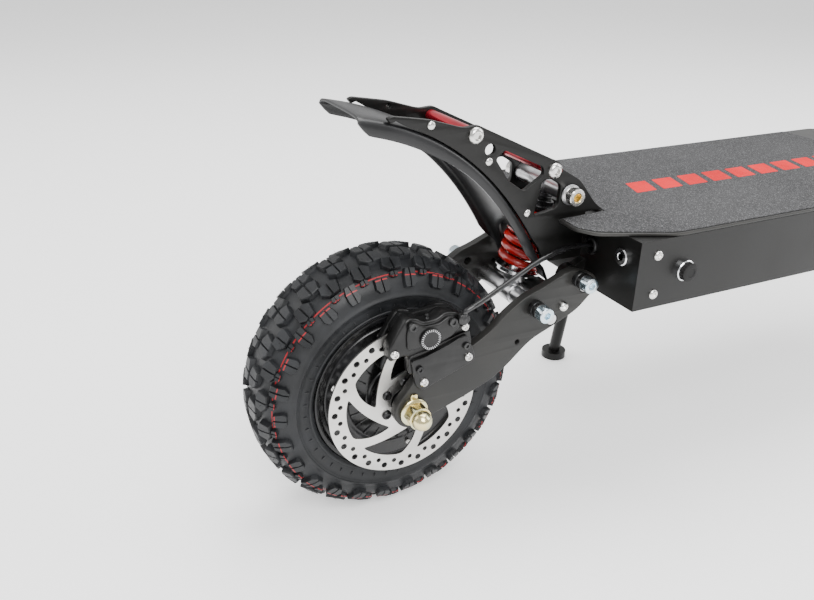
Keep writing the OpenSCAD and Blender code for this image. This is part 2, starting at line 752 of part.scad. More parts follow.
fork_outline = [
  [140, 216], [198, 205], [205, 190], [207, 102], [194, 86.2], [182, 98], [174, 150], [158, 192]
];
module fork() color("#19191a") difference() {
  union() {
    at_stem() {
      translate([0, 0, -crown_t / 2]) cylinder(r = 34, h = crown_t);
      translate([-132, -lug_in - lug_t + 1, -crown_t / 2]) cube([132, 2 * (lug_in + lug_t) - 2, crown_t]);
      cylinder(r = steerer_r + 5, h = head_low - 2);
      cylinder(r = steerer_r, h = base_high - 8);
    }
    at_front() both_sides() slab(lug_in, lug_in + lug_t) {
      polygon(fork_outline);
      spot(pivot, pivot_lug_r);
      spot(eye_top, 15);
    }
  }
  at_stem() translate([0, 0, -crown_t]) cylinder(r = steerer_r - 4, h = base_high + crown_t);
  at_front() lug_bores();
  at_front() rod_y(eye_top, eye_pin_r + bolt_gap, -lug_in - lug_t - 1, lug_in + lug_t + 1);
}

module front_fender() {
  shell_r = 187;
  shell_half = 40.5;
  start = 50;
  sweep = 89;
  color("#232426") at_front() difference() {
    union() {
      rotate([0, -start, 0]) rotate([-90, 0, 0]) rotate([0, 0, -sweep]) rotate_extrude(angle = sweep)
        polygon([[shell_r - 14, -shell_half - 4], [shell_r - 6, -shell_half - 4], [shell_r, -shell_half + 2],
                 [shell_r, shell_half - 2], [shell_r - 6, shell_half + 4], [shell_r - 14, shell_half + 4],
                 [shell_r - 14, shell_half + 1], [shell_r - 7, shell_half + 1], [shell_r - 3, shell_half - 3],
                 [shell_r - 3, -shell_half + 3], [shell_r - 7, -shell_half - 1], [shell_r - 14, -shell_half - 1]]);
      slab(-16, 16) polygon([[50, 178.5], crown_point(-18.3, -crown_t / 2), crown_point(18.3, -crown_t / 2), [88, 163]]);
    }
  }
}

module fork_pivots() {
  at_front() pivot_pins(lug_in, lug_in + lug_t);
  color("#8d8f92") at_stem() rod_y([hinge_x, hinge_z], hinge_pin_r, -hinge_cheek_in - hinge_cheek_t - 2,
                                   hinge_cheek_in + hinge_cheek_t + 2);
}

module stem_base() color("#1d1d1f") at_stem() difference() {
  union() {
    translate([0, 0, base_low]) cylinder(r = 24, h = base_high - base_low);
    translate([0, 0, base_high - 8]) cylinder(r = 26, h = 8);
    both_sides() slab(hinge_cheek_in, hinge_cheek_in + hinge_cheek_t) {
      polygon([[-18, base_low + 16], [-18, base_high - 0.5], [-28, base_high - 0.5], [-33, 213], [-45, 206], [-40, 192]]);
      spot([hinge_x, hinge_z], hinge_lug_r);
    }
    both_sides() slab(8, 13)
      polygon([[20, 177], [20, 195], [latch_x + 5, 193], [latch_x + 7, latch_z], [latch_x + 2, 178]]);
    translate([12, -15, base_low + 4]) cube([20, 30, 14]);
  }
  translate([0, 0, base_low - 1]) cylinder(r = steerer_r + bolt_gap, h = base_high - base_low - 6);
  rod_y([hinge_x, hinge_z], hinge_pin_r + bolt_gap, -30, 30);
  rod_y([latch_x, latch_z], latch_pin_r + run_gap, -14, 14);
  translate([15, -2, base_low + 2]) cube([20, 4, 18]);
}

// =================== stem and handlebar ===================
module stem_tube() color("#1d1d1f") at_stem() difference() {
  union() {
    translate([0, 0, base_high + side_gap]) cylinder(r = 26.5, h = 9);
    translate([0, 0, base_high + side_gap]) cylinder(r = 25, h = 40);
    translate([0, 0, base_high + 38]) cylinder(r1 = 25, r2 = stem_r, h = 14);
    translate([0, 0, base_high + 20]) cylinder(r = stem_r, h = bar_z - base_high - 20 - 12);
    translate([0, 0, bar_z - 34]) cylinder(r = stem_r + 2, h = 26);
    slab(-hinge_cheek_in + side_gap, hinge_cheek_in - side_gap) {
      polygon([[-18, base_high + 1], [-18, 232], [-30, 226], [-43, 212], [-44, 204], [-30, 202.4]]);
      spot([hinge_x, hinge_z], hinge_lug_r);
    }
    rod_y([0, bar_z], bar_r + 8, -26, 26);
  }
  rod_y([0, bar_z], bar_r + bolt_gap, -27, 27);
  rod_y([hinge_x, hinge_z], hinge_pin_r + run_gap, -30, 30);
  translate([0, 0, base_high + 22]) cylinder(r = stem_r - 3.5, h = bar_z - base_high - 60);
}

module fold_latch() color("#b3201c") at_stem() {
  rod_y([latch_x, latch_z], latch_pin_r, -13, 13);
  slab(-8 + side_gap, 8 - side_gap) union() {
    spot([latch_x, latch_z], 7);
    polygon([[33, 191], [44.5, 184], [48, 210], [44, 270], [46, 292], [41, 292], [38, 270], [40, 212]]);
  }
}

module headlight() {
  lamp_z = bar_z - 110;
  color("#141415") at_stem() difference() {
    union() {
      translate([stem_r + 4, 0, lamp_z]) rotate([0, 90, 0]) cylinder(r = 24, h = 26);
      translate([stem_r + 30 - eps, 0, lamp_z]) rotate([0, 90, 0]) cylinder(r1 = 24, r2 = 27, h = 10);
      translate([0, 0, lamp_z - 9]) cylinder(r = stem_r + 5, h = 18);
    }
    translate([stem_r + 34, 0, lamp_z]) rotate([0, 90, 0]) cylinder(r = 22.5, h = 8);
    translate([0, 0, lamp_z - 10]) cylinder(r = stem_r, h = 20);
  }
}

module handlebar() color("#1b1b1c") at_stem() difference() {
  rod_y([0, bar_z], bar_r, -bar_w / 2 + 6, bar_w / 2 - 6);
  rod_y([0, bar_z], bar_r - 2.5, -bar_w / 2, bar_w / 2);
}

module grips() color("#111112") at_stem() both_sides() difference() {
  union() {
    rod_y([0, bar_z], grip_r, grip_in, bar_w / 2);
    rod_y([0, bar_z], grip_r + 3, grip_in, grip_in + 5);
  }
  rod_y([0, bar_z], bar_r, grip_in - 1, bar_w / 2 - 6);
}

module lever_mounts() color("#17181a") at_stem() translate([0, 0, bar_z]) both_sides() difference() {
  union() {
    rod_y([0, 0], mount_r, mount_y - mount_wide / 2, mount_y + mount_wide / 2);
    translate([10, mount_y - 22, -9]) cube([15, 30, 18]);
    translate([12, mount_y - 52, -8]) cube([18, 34, 16]);
    translate([10, mount_y - 54, 6]) cube([24, 38, 12]);
    for (z = [-9.5, lever_t / 2 + side_gap]) translate([20, lever_pin[1] - 9, z]) cube([16, 18, 4.2]);
    for (z = [-9.5, lever_t / 2 + side_gap]) translate([lever_pin[0], lever_pin[1], z]) cylinder(r = 9, h = 4.2);
    translate([lever_pin[0], lever_pin[1], -11]) cylinder(r = lever_pin_r, h = 22);
  }
  rod_y([0, 0], bar_r, mount_y - 60, mount_y + mount_wide);
  translate([lever_pin[0], lever_pin[1], -lever_t / 2 - side_gap]) difference() {
    cylinder(r = 10.5, h = lever_t + 2 * side_gap);
    cylinder(r = lever_pin_r, h = lever_t + 2 * side_gap);
  }
}

module brake_lever() difference() {
  translate([0, 0, bar_z - lever_t / 2]) linear_extrude(lever_t) union() {
    spot(lever_pin, 9);
    polygon([[28, 101], [37, 87.5], [46, 104], [58, 130], [67, 200], [66, 280], [61, 286], [55, 280],
             [56, 200], [48, 140]]);
  }
  translate([lever_pin[0], lever_pin[1], bar_z - lever_t]) cylinder(r = lever_pin_r + run_gap, h = 2 * lever_t);
}
module brake_lever_left() color("#2b2c2f") at_stem() brake_lever();
module brake_lever_right() color("#2b2c2f") at_stem() mirror([0, 1, 0]) brake_lever();

module display_unit() color("#141416") at_stem() translate([0, 0, bar_z]) difference() {
  union() {
    rod_y([0, 0], ring_r, -ring_out, -ring_in);
    translate([dial[0], dial[1], dial_low]) cylinder(r = dial[2], h = dial_high - dial_low);
    translate([-12, -ring_out + 8, 4]) cube([24, ring_out - ring_in + 10, 12]);
  }
  rod_y([0, 0], bar_r, -ring_out - 1, -ring_in + 20);
  translate([dial[0] - 19, dial[1], dial_high - 6]) cylinder(r = 4 + bolt_gap, h = 8);
}

module mode_button() color("#b3201c") at_stem()
  translate([dial[0] - 19, dial[1], bar_z + dial_high - 4]) cylinder(r = 4, h = 6);

module throttle_trigger() color("#1f2022") at_stem() translate([0, 0, bar_z]) difference() {
  union() {
    rod_y([0, 0], ring_r - 1, -grip_in + side_gap, -ring_out - side_gap);
    slab(-grip_in - 26, -ring_out - side_gap) polygon([[20, -13], [26, -17], [36, -34], [31, -37], [19, -22]]);
    slab(-grip_in + side_gap, -ring_out - side_gap) polygon([[8, -8], [22, -10], [26, -17], [19, -22], [4, -14]]);
  }
  rod_y([0, 0], bar_r + 0.3, -grip_in - 1, -ring_out + 1);
}

module switch_pod() color("#141416") at_stem() translate([0, 0, bar_z]) difference() {
  union() {
    rod_y([0, 0], ring_r, ring_in, ring_out);
    translate([-26, ring_in, -17]) cube([24, ring_out - ring_in, 34]);
  }
  rod_y([0, 0], bar_r, ring_in - 1, ring_out + 1);
  translate([-27, (ring_in + ring_out) / 2, 6]) rotate([0, 90, 0]) cylinder(r = 6 + bolt_gap, h = 8);
}

module horn_button() color("#b3201c") at_stem()
  translate([-30, (ring_in + ring_out) / 2, bar_z + 6]) rotate([0, 90, 0]) cylinder(r = 6, h = 8);

// =================== what is drawn ===================
deck_frame();
deck_plate();
grip_mat();
battery_pack();
controllers();
frame_screws();
panel_rings();
at_rear() fender_carrier();
at_rear() cross_tubes();
at_rear() carrier_bolts();
at_rear() rear_fender();
at_rear() pivot_pins(carrier_in, carrier_out);  // rear_pivots
neck();
headset();
charge_cap();
kickstand();
at_rear() swing_arm();  // rear_swing_arm
at_rear() arm_bolts();  // rear_arm_bolts
at_rear() axle();  // rear_axle
at_rear() axle_nuts();  // rear_axle_nuts
at_rear() caliper();  // rear_caliper
at_rear() caliper_bracket();  // rear_caliper_bracket
at_rear() hose();  // rear_brake_hose
at_rear() tyre();  // rear_tyre
at_rear() hub_motor();  // rear_hub_motor
at_rear() rotor();  // rear_rotor
at_rear() hub_screws();  // rear_hub_screws
at_rear() damper_body();  // rear_damper_body
at_rear() spring();  // rear_spring
at_rear() damper_rod();  // rear_damper_rod
fork();
front_fender();
fork_pivots();
stem_base();
at_front() swing_arm();  // front_swing_arm
at_front() arm_bolts();  // front_arm_bolts
at_front() axle();  // front_axle
at_front() axle_nuts();  // front_axle_nuts
at_front() caliper();  // front_caliper
at_front() caliper_bracket();  // front_caliper_bracket
at_front() tyre();  // front_tyre
at_front() hub_motor();  // front_hub_motor
at_front() rotor();  // front_rotor
at_front() hub_screws();  // front_hub_screws
at_front() damper_body();  // front_damper_body
at_front() spring();  // front_spring
at_front() damper_rod();  // front_damper_rod
stem_tube();
fold_latch();
headlight();
handlebar();
grips();
lever_mounts();
brake_lever_left();
brake_lever_right();
display_unit();
throttle_trigger();
mode_button();
switch_pod();
horn_button();
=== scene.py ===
"""Electric kick scooter: the finished looks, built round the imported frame.

Lengths are millimetres in each sub-assembly's own frame; settle() carries a mesh to metres in the row frame.
Each wheel end is drawn about its axle with +X towards the deck, +Y to the left and +Z up.
"""

import logging
import math
from dataclasses import dataclass
from enum import Enum

import bmesh
import bpy
from mathutils import Matrix, Vector


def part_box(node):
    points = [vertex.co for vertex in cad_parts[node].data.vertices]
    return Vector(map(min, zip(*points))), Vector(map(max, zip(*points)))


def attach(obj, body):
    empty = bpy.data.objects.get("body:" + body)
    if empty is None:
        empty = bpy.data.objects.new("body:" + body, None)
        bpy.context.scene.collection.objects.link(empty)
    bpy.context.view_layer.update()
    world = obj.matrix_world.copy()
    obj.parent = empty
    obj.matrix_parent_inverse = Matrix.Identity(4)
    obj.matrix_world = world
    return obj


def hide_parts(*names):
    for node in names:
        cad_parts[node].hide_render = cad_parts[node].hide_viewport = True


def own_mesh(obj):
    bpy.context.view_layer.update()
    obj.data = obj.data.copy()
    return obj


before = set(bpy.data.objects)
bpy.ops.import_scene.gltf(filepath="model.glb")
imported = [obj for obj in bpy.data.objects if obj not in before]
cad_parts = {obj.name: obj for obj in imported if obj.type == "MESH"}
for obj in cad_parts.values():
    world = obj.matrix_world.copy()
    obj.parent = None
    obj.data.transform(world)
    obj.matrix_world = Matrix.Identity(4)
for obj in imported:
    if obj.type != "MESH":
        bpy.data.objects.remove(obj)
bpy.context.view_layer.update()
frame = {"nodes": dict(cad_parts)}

LOG = logging.getLogger("scooter")
MM = 0.001
Point = tuple[float, float]
Place = tuple[float, float, float]
Colour = tuple[float, float, float]

# Points closer than this, in millimetres, are one.
MERGE_GAP = 0.0005
# The tyre's red line and mould ring: radius and half width in metres, and how finely the line breaks up.
LINE_RADIUS, LINE_HALF = 0.1272, 0.0004
LINE_RED = (0.30, 0.008, 0.013)
LINE_BREAKS = 220.0
MOULD_RADIUS, MOULD_HALF = 0.1043, 0.0006
# What every finish shares: its coat's roughness, its bump's depth in metres and its streaks' grain.
COAT_ROUGH = 0.15
BUMP_DEPTH = 0.001
STREAK_GRAIN = 2600.0


# ---------------------------------------------------------------- finishes

class Pattern(Enum):
    """What a finish's surface detail follows."""

    GRAIN = "grain"
    GRIT = "grit"
    TURNED = "turned"
    TYRE = "tyre"


@dataclass(frozen=True)
class Finish:
    """One surface finish, made as a procedural material on object coordinates."""

    name: str
    slot: str
    colour: Colour
    tint: Colour
    rough: float
    metal: float = 0.0
    coat: float = 0.0
    spread: float = 0.1
    mottle: float = 25.0
    grain: float = 900.0
    relief: float = 0.05
    edge: float = 0.0
    worn: Colour = (0.3, 0.3, 0.3)
    wear: float = 0.0
    pattern: Pattern = Pattern.GRAIN
    centre: Place = (0.0, 0.0, 0.0)
    glow: float = 0.0
    shine: float = 0.5

    def material(self) -> bpy.types.Material:
        """Makes the material, or finds it if it is already made.

        Returns:
            The material of this finish.
        """
        known = bpy.data.materials.get(self.name)
        if known:
            return known
        made = bpy.data.materials.new(self.name)
        made.use_nodes = True
        Shading(made.node_tree, self).wire()
        return made


class Shading:
    """The node tree of one finish."""

    def __init__(self, tree: bpy.types.NodeTree, finish: Finish) -> None:
        """Keeps the tree and starts from the object's own coordinates."""
        self.tree = tree
        self.finish = finish
        self.shader = tree.nodes["Principled BSDF"]
        self.place = tree.nodes.new("ShaderNodeMapping")
        self.place.inputs["Location"].default_value = [-c for c in finish.centre]
        tree.links.new(tree.nodes.new("ShaderNodeTexCoord").outputs["Object"], self.place.inputs["Vector"])

    def node(self, kind: str, **values: object) -> bpy.types.Node:
        """Adds a node and sets its properties.

        Args:
            kind: The node's type.
            values: Its properties.

        Returns:
            The new node.
        """
        made = self.tree.nodes.new(kind)
        for key, value in values.items():
            setattr(made, key, value)
        return made

    def link(self, source: object, target: bpy.types.NodeSocket) -> None:
        """Links a socket, or sets a plain value."""
        if isinstance(source, bpy.types.NodeSocket):
            self.tree.links.new(source, target)
        else:
            target.default_value = source

    def math(self, operation: str, *values: object) -> bpy.types.NodeSocket:
        """Adds a Math node.

        Args:
            operation: The sum it does.
            values: Sockets or numbers, in order.

        Returns:
            Its output.
        """
        made = self.node("ShaderNodeMath", operation=operation)
        for socket, value in zip(made.inputs, values):
            self.link(value, socket)
        return made.outputs[0]

    def noise(self, scale: float, detail: float = 4.0, vector: bpy.types.NodeSocket | None = None,
              ) -> bpy.types.NodeSocket:
        """Adds fractal noise.

        Args:
            scale: Cells in a metre.
            detail: Octaves.
            vector: What it is read on, or the finish's own coordinates.

        Returns:
            Its value, from 0 to 1.
        """
        made = self.node("ShaderNodeTexNoise")
        made.inputs["Scale"].default_value = scale
        made.inputs["Detail"].default_value = detail
        self.link(vector or self.place.outputs[0], made.inputs["Vector"])
        return made.outputs["Fac"]

    def ramp(self, value: bpy.types.NodeSocket, low: float, high: float, to_low: float = 0.0,
             to_high: float = 1.0) -> bpy.types.NodeSocket:
        """Maps a value's range smoothly on to another.

        Args:
            value: The socket read.
            low: Where the range starts.
            high: Where it ends.
            to_low: What the start becomes.
            to_high: What the end becomes.

        Returns:
            The mapped value.
        """
        made = self.node("ShaderNodeMapRange", interpolation_type="SMOOTHSTEP")
        for socket, item in zip(made.inputs, (value, low, high, to_low, to_high)):
            self.link(item, socket)
        return made.outputs[0]

    def mix(self, share: bpy.types.NodeSocket, first: object, second: object) -> bpy.types.NodeSocket:
        """Mixes two colours.

        Args:
            share: How much of the second.
            first: A colour or socket.
            second: A colour or socket.

        Returns:
            The mixed colour.
        """
        made = self.node("ShaderNodeMix", data_type="RGBA")
        self.link(share, made.inputs[0])
        for value, socket in ((first, made.inputs[6]), (second, made.inputs[7])):
            self.link((*value, 1.0) if isinstance(value, tuple) else value, socket)
        return made.outputs[2]

    def radius(self) -> bpy.types.NodeSocket:
        """The distance from the finish's centre line, which lies along Y."""
        flat = self.node("ShaderNodeVectorMath", operation="MULTIPLY")
        self.link(self.place.outputs[0], flat.inputs[0])
        flat.inputs[1].default_value = (1, 0, 1)
        length = self.node("ShaderNodeVectorMath", operation="LENGTH")
        self.link(flat.outputs[0], length.inputs[0])
        return length.outputs["Value"]

    def band(self, value: bpy.types.NodeSocket, middle: float, half: float) -> bpy.types.NodeSocket:
        """1 within half of the middle, falling to 0 just outside it."""
        off = self.math("ABSOLUTE", self.math("SUBTRACT", value, middle))
        return self.ramp(off, half * 0.8, half * 1.3, 1.0, 0.0)

    def wire(self) -> None:
        """Builds the tree: colour, roughness and relief, as the finish says."""
        finish = self.finish
        clouds = self.noise(finish.mottle, 6.0)
        fine = self.noise(finish.grain, 3.0)
        colour = self.mix(self.ramp(clouds, 0.35, 0.7), finish.colour, finish.tint)
        height = fine
        rough = self.ramp(clouds, 0.3, 0.75, finish.rough - finish.spread / 2,
                          finish.rough + finish.spread / 2)
        if finish.pattern is Pattern.TURNED:
            height = self.turned_lines(fine)
        if finish.pattern is Pattern.GRIT:
            cells = self.node("ShaderNodeTexVoronoi")
            cells.inputs["Scale"].default_value = finish.grain
            self.link(self.place.outputs[0], cells.inputs["Vector"])
            spark = self.ramp(self.math("MULTIPLY", cells.outputs["Color"], fine), 0.33, 0.42)
            colour = self.mix(spark, colour, finish.worn)
            height = self.math("SUBTRACT", 1.0, cells.outputs["Distance"])
        if finish.pattern is Pattern.TYRE:
            stripe = self.band(self.radius(), LINE_RADIUS, LINE_HALF)
            broken = self.ramp(self.noise(LINE_BREAKS), 0.3, 0.42)
            aside = self.node("ShaderNodeSeparateXYZ")
            self.link(self.tree.nodes["Texture Coordinate"].outputs["Normal"], aside.inputs[0])
            sideways = self.ramp(self.math("ABSOLUTE", aside.outputs["Y"]), 0.45, 0.6)
            share = self.math("MULTIPLY", self.math("MULTIPLY", stripe, broken), sideways)
            colour = self.mix(share, colour, LINE_RED)
            mould = self.band(self.radius(), MOULD_RADIUS, MOULD_HALF)
            height = self.math("ADD", self.math("MULTIPLY", fine, 0.4), mould)
        normal = None
        if finish.edge:
            bevel = self.node("ShaderNodeBevel", samples=4)
            bevel.inputs["Radius"].default_value = finish.edge
            normal = bevel.outputs[0]
            if finish.wear:
                colour = self.mix(self.edge_mask(normal, clouds), colour, finish.worn)
        bump = self.node("ShaderNodeBump")
        bump.inputs["Strength"].default_value = finish.relief
        bump.inputs["Distance"].default_value = BUMP_DEPTH
        self.link(height, bump.inputs["Height"])
        if normal:
            self.link(normal, bump.inputs["Normal"])
        self.link(bump.outputs[0], self.shader.inputs["Normal"])
        self.link(colour, self.shader.inputs["Base Color"])
        self.link(rough, self.shader.inputs["Roughness"])
        for label, value in (("Metallic", finish.metal), ("Coat Weight", finish.coat),
                             ("Coat Roughness", COAT_ROUGH), ("Specular IOR Level", finish.shine)):
            self.shader.inputs[label].default_value = value
        if finish.glow:
            self.shader.inputs["Emission Color"].default_value = (*finish.colour, 1.0)
            self.shader.inputs["Emission Strength"].default_value = finish.glow

    def turned_lines(self, fine: bpy.types.NodeSocket) -> bpy.types.NodeSocket:
        """Fine rings round the centre line, as a lathe or a brush leaves them."""
        ring = self.node("ShaderNodeCombineXYZ")
        self.link(self.radius(), ring.inputs[0])
        streaks = self.noise(STREAK_GRAIN, 2.0, ring.outputs[0])
        return self.math("ADD", streaks, self.math("MULTIPLY", fine, 0.15))

    def edge_mask(self, soft: bpy.types.NodeSocket, clouds: bpy.types.NodeSocket) -> bpy.types.NodeSocket:
        """How far an edge is worn: where the rounded normal leaves the true one, broken up by the clouds."""
        true = self.node("ShaderNodeNewGeometry")
        dot = self.node("ShaderNodeVectorMath", operation="DOT_PRODUCT")
        self.link(soft, dot.inputs[0])
        self.link(true.outputs["Normal"], dot.inputs[1])
        edge = self.ramp(dot.outputs["Value"], 0.80, 0.99, self.finish.wear, 0.0)
        return self.math("MULTIPLY", edge, self.ramp(clouds, 0.35, 0.6))


def black_metal(name: str, slot: str, edge: float = 0.0007, level: float = 0.016) -> Finish:
    """A satin black coat on aluminium, with a warm grey sheen.

    Args:
        name: The material's name.
        slot: The record's slot.
        edge: Radius that its corners catch light at, in metres.
        level: How dark it is.

    Returns:
        The finish.
    """
    return Finish(name, slot, (level, level, level * 0.95), (level * 1.5, level * 1.45, level * 1.35), 0.38,
                  metal=0.2, coat=0.06, spread=0.12, mottle=14, grain=1400, relief=0.05, edge=edge,
                  worn=(0.07, 0.068, 0.065), wear=0.4, shine=0.28)


ARM_BLACK = black_metal("arm_satin_black", "anodised_black")
FRAME_BLACK = black_metal("frame_powder_black", "frame_black", level=0.004)
PLATE_BLACK = black_metal("carrier_satin_black", "anodised_black", level=0.005)
SHELL_BLACK = Finish("fender_moulded_black", "fender_plastic", (0.006, 0.006, 0.0065), (0.011, 0.011, 0.012),
                     0.36,
                     coat=0.1, spread=0.16, mottle=18, grain=1100, relief=0.06, shine=0.36)
PLASTIC = Finish("housing_plastic", "black_plastic", (0.007, 0.007, 0.008), (0.014, 0.014, 0.015), 0.42,
                 shine=0.35,
                 spread=0.1, mottle=30, grain=1800, relief=0.12, edge=0.0008, worn=(0.06, 0.06, 0.06),
                 wear=0.3)
RUBBER = Finish("control_rubber", "rubber", (0.006, 0.006, 0.006), (0.014, 0.013, 0.013), 0.7, shine=0.3,
                spread=0.12, mottle=40, grain=1500, relief=0.2, edge=0.0005)
HUB_BLACK = Finish("hub_gloss_black", "motor_black", (0.003, 0.003, 0.003), (0.008, 0.008, 0.009), 0.3,
                   metal=0.2, coat=0.3, shine=0.3, spread=0.14, mottle=30, grain=900, relief=0.04)
CALIPER_BLACK = Finish("caliper_satin_black", "anodised_black", (0.004, 0.004, 0.004), (0.010, 0.010, 0.010),
                       0.33,
                       metal=0.2, coat=0.15, shine=0.3, mottle=60, grain=1300, relief=0.05,
                       worn=(0.2, 0.2, 0.2))
STEEL = Finish("polished_screw_steel", "bright_steel", (0.72, 0.71, 0.69), (0.58, 0.57, 0.55), 0.2,
               metal=1.0, mottle=160, grain=1600, relief=0.05)
CHROME = Finish("chrome_plate", "bright_steel", (0.82, 0.83, 0.84), (0.7, 0.71, 0.73), 0.12,
                metal=1.0, spread=0.08, mottle=70, grain=600, relief=0.02)
ZINC_BLUE = Finish("blue_zinc_steel", "zinc_blue", (0.52, 0.66, 0.74), (0.70, 0.76, 0.80), 0.24,
                   metal=1.0, mottle=110, grain=1200, relief=0.05)
ZINC_YELLOW = Finish("yellow_zinc_steel", "zinc_yellow", (0.72, 0.60, 0.30), (0.62, 0.62, 0.42), 0.22,
                     metal=1.0, mottle=90, grain=1200, relief=0.05)
BRASS = Finish("yellow_socket_steel", "zinc_yellow", (0.68, 0.52, 0.2), (0.6, 0.5, 0.28), 0.3, metal=1.0,
               mottle=120)
SCREW_BLACK = Finish("black_oxide_screw", "anodised_black", (0.02, 0.02, 0.021), (0.05, 0.05, 0.05), 0.3,
                     metal=0.8, mottle=150, grain=1500, relief=0.05)
RED_TUBE = Finish("red_anodised_tube", "red_anodised", (0.50, 0.012, 0.03), (0.34, 0.008, 0.02), 0.3,
                  metal=0.75, coat=0.3, mottle=40, grain=1500, relief=0.03)
SPRING_RED = Finish("spring_red_coat", "spring_red", (0.40, 0.008, 0.005), (0.26, 0.005, 0.004), 0.24,
                    coat=0.5, mottle=50, grain=700, relief=0.05)
ALUMINIUM = Finish("bare_machined_aluminium", "bare_aluminium", (0.62, 0.62, 0.63), (0.5, 0.5, 0.51), 0.32,
                   metal=1.0, mottle=60, grain=1400, relief=0.06, edge=0.0005)
GRIP_TAPE = Finish("grip_tape", "grip_mat", (0.024, 0.024, 0.025), (0.040, 0.040, 0.041), 0.8, shine=0.35,
                   spread=0.1, mottle=9, grain=1150, relief=0.5, worn=(0.13, 0.13, 0.135),
                   pattern=Pattern.GRIT)
PRINT_RED = Finish("deck_print_red", "red_anodised", (0.66, 0.012, 0.018), (0.50, 0.009, 0.014), 0.75,
                   shine=0.15,
                   mottle=14, grain=1150, relief=0.4, worn=(0.62, 0.03, 0.03), pattern=Pattern.GRIT)
WRAP = Finish("battery_wrap_blue", "battery_wrap", (0.02, 0.08, 0.22), (0.03, 0.1, 0.27), 0.35, coat=0.3)
BUTTON_RED = Finish("button_red", "button_red", (0.5, 0.02, 0.015), (0.38, 0.016, 0.012), 0.35, coat=0.3,
                    mottle=90,
                    edge=0.0006)


# ---------------------------------------------------------------- places

def node_centre(name: str) -> Vector:
    """The middle of a CAD node's box, in metres."""
    low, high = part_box(name)
    return (low + high) / 2


@dataclass(frozen=True)
class End:
    """One wheel end: its name and which way its frame looks."""

    name: str
    sign: float

    @property
    def axle(self) -> Vector:
        """The axle's centre on the wheel's middle plane."""
        centre = node_centre(f"{self.name}_axle")
        return Vector((centre.x, 0.0, centre.z))

    @property
    def place(self) -> Matrix:
        """Carries this end's millimetres to the row frame."""
        return Matrix.Translation(self.axle) @ Matrix.Diagonal((self.sign * MM, MM, MM, 1.0))

    def body(self, kind: str) -> str:
        """The CAD body of this end's wheel, arm, damper or rod."""
        return f"{self.name}_{kind}"


REAR = End("rear", 1.0)
FRONT = End("front", -1.0)


# ---------------------------------------------------------------- shapes

def rounded(corners: list[tuple[float, ...]], radius: float, steps: int = 5) -> list[Point]:
    """Rounds the corners of a closed outline.

    Args:
        corners: Its corners, each with a radius of its own as a third value if it differs.
        radius: How far from a corner its round starts.
        steps: Points on each round.

    Returns:
        The rounded outline.
    """
    done: list[Point] = []
    for i, corner in enumerate(corners):
        here = Vector(corner[:2])
        before, after = Vector(corners[i - 1][:2]), Vector(corners[(i + 1) % len(corners)][:2])
        reach = corner[2] if len(corner) > 2 else radius
        start = here + (before - here).normalized() * min(reach, (before - here).length * 0.45)
        stop = here + (after - here).normalized() * min(reach, (after - here).length * 0.45)
        for k in range(steps + 1):
            t = k / steps
            done.append(tuple(start * (1 - t) ** 2 + here * (2 * t * (1 - t)) + stop * t * t))
    return done


def circle(centre: Point, radius: float, steps: int = 28) -> list[Point]:
    """A round outline."""
    turn = [2 * math.pi * k / steps for k in range(steps)]
    return [(centre[0] + radius * math.cos(a), centre[1] + radius * math.sin(a)) for a in turn]


def linked(name: str, data: bpy.types.ID) -> bpy.types.Object:
    """A new object of some data, in the scene."""
    made = bpy.data.objects.new(name, data)
    bpy.context.scene.collection.objects.link(made)
    return made


def cleaned(mesh: bpy.types.Mesh, outward: bool) -> None:
    """Merges a mesh's doubled points, then tidies its faces.

    Args:
        mesh: The mesh.
        outward: Turns the faces outward; otherwise the slivers are dissolved.
    """
    work = bmesh.new()
    work.from_mesh(mesh)
    bmesh.ops.remove_doubles(work, verts=work.verts, dist=MERGE_GAP)
    if outward:
        bmesh.ops.recalc_face_normals(work, faces=work.faces)
    else:
        bmesh.ops.dissolve_degenerate(work, dist=MERGE_GAP, edges=work.edges)
    work.to_mesh(mesh)
    work.free()


def show(name: str, mesh: bpy.types.Mesh, finish: Finish | None = None,
         angle: float = 38.0) -> bpy.types.Object:
    """Puts a mesh in the scene, closed and smooth apart from its corners.

    Args:
        name: The object's name.
        mesh: Its mesh.
        finish: The finish it takes, or none to keep its own.
        angle: Corners sharper than this stay sharp, in degrees.

    Returns:
        The object.
    """
    cleaned(mesh, outward=True)
    mesh.shade_smooth()
    mesh.set_sharp_from_angle(angle=math.radians(angle))
    made = linked(name, mesh)
    if finish:
        mesh.materials.clear()
        mesh.materials.append(finish.material())
    return made


def evaluated(source: bpy.types.Object) -> bpy.types.Mesh:
    """The plain mesh of an object with its modifiers, whose object is then deleted."""
    graph = bpy.context.evaluated_depsgraph_get()
    mesh = bpy.data.meshes.new_from_object(source.evaluated_get(graph), depsgraph=graph)
    bpy.data.objects.remove(source)
    return mesh


def outline_curve(name: str, outlines: list[list[Point]]) -> bpy.types.Object:
    """A flat curve of closed outlines, in its own XY plane."""
    data = bpy.data.curves.new(name, "CURVE")
    data.dimensions = "2D"
    for outline in outlines:
        spline = data.splines.new("POLY")
        spline.points.add(len(outline) - 1)
        for point, (x, y) in zip(spline.points, outline):
            point.co = (x, y, 0, 1)
        spline.use_cyclic_u = True
    return linked(name, data)


UPRIGHT = Matrix.Rotation(math.pi / 2, 4, "X")


def shaped(name: str, points: list[Vector], faces: list[tuple[int, ...]]) -> bpy.types.Mesh:
    """A mesh of points and faces."""
    mesh = bpy.data.meshes.new(name)
    mesh.from_pydata(points, [], faces)
    return mesh


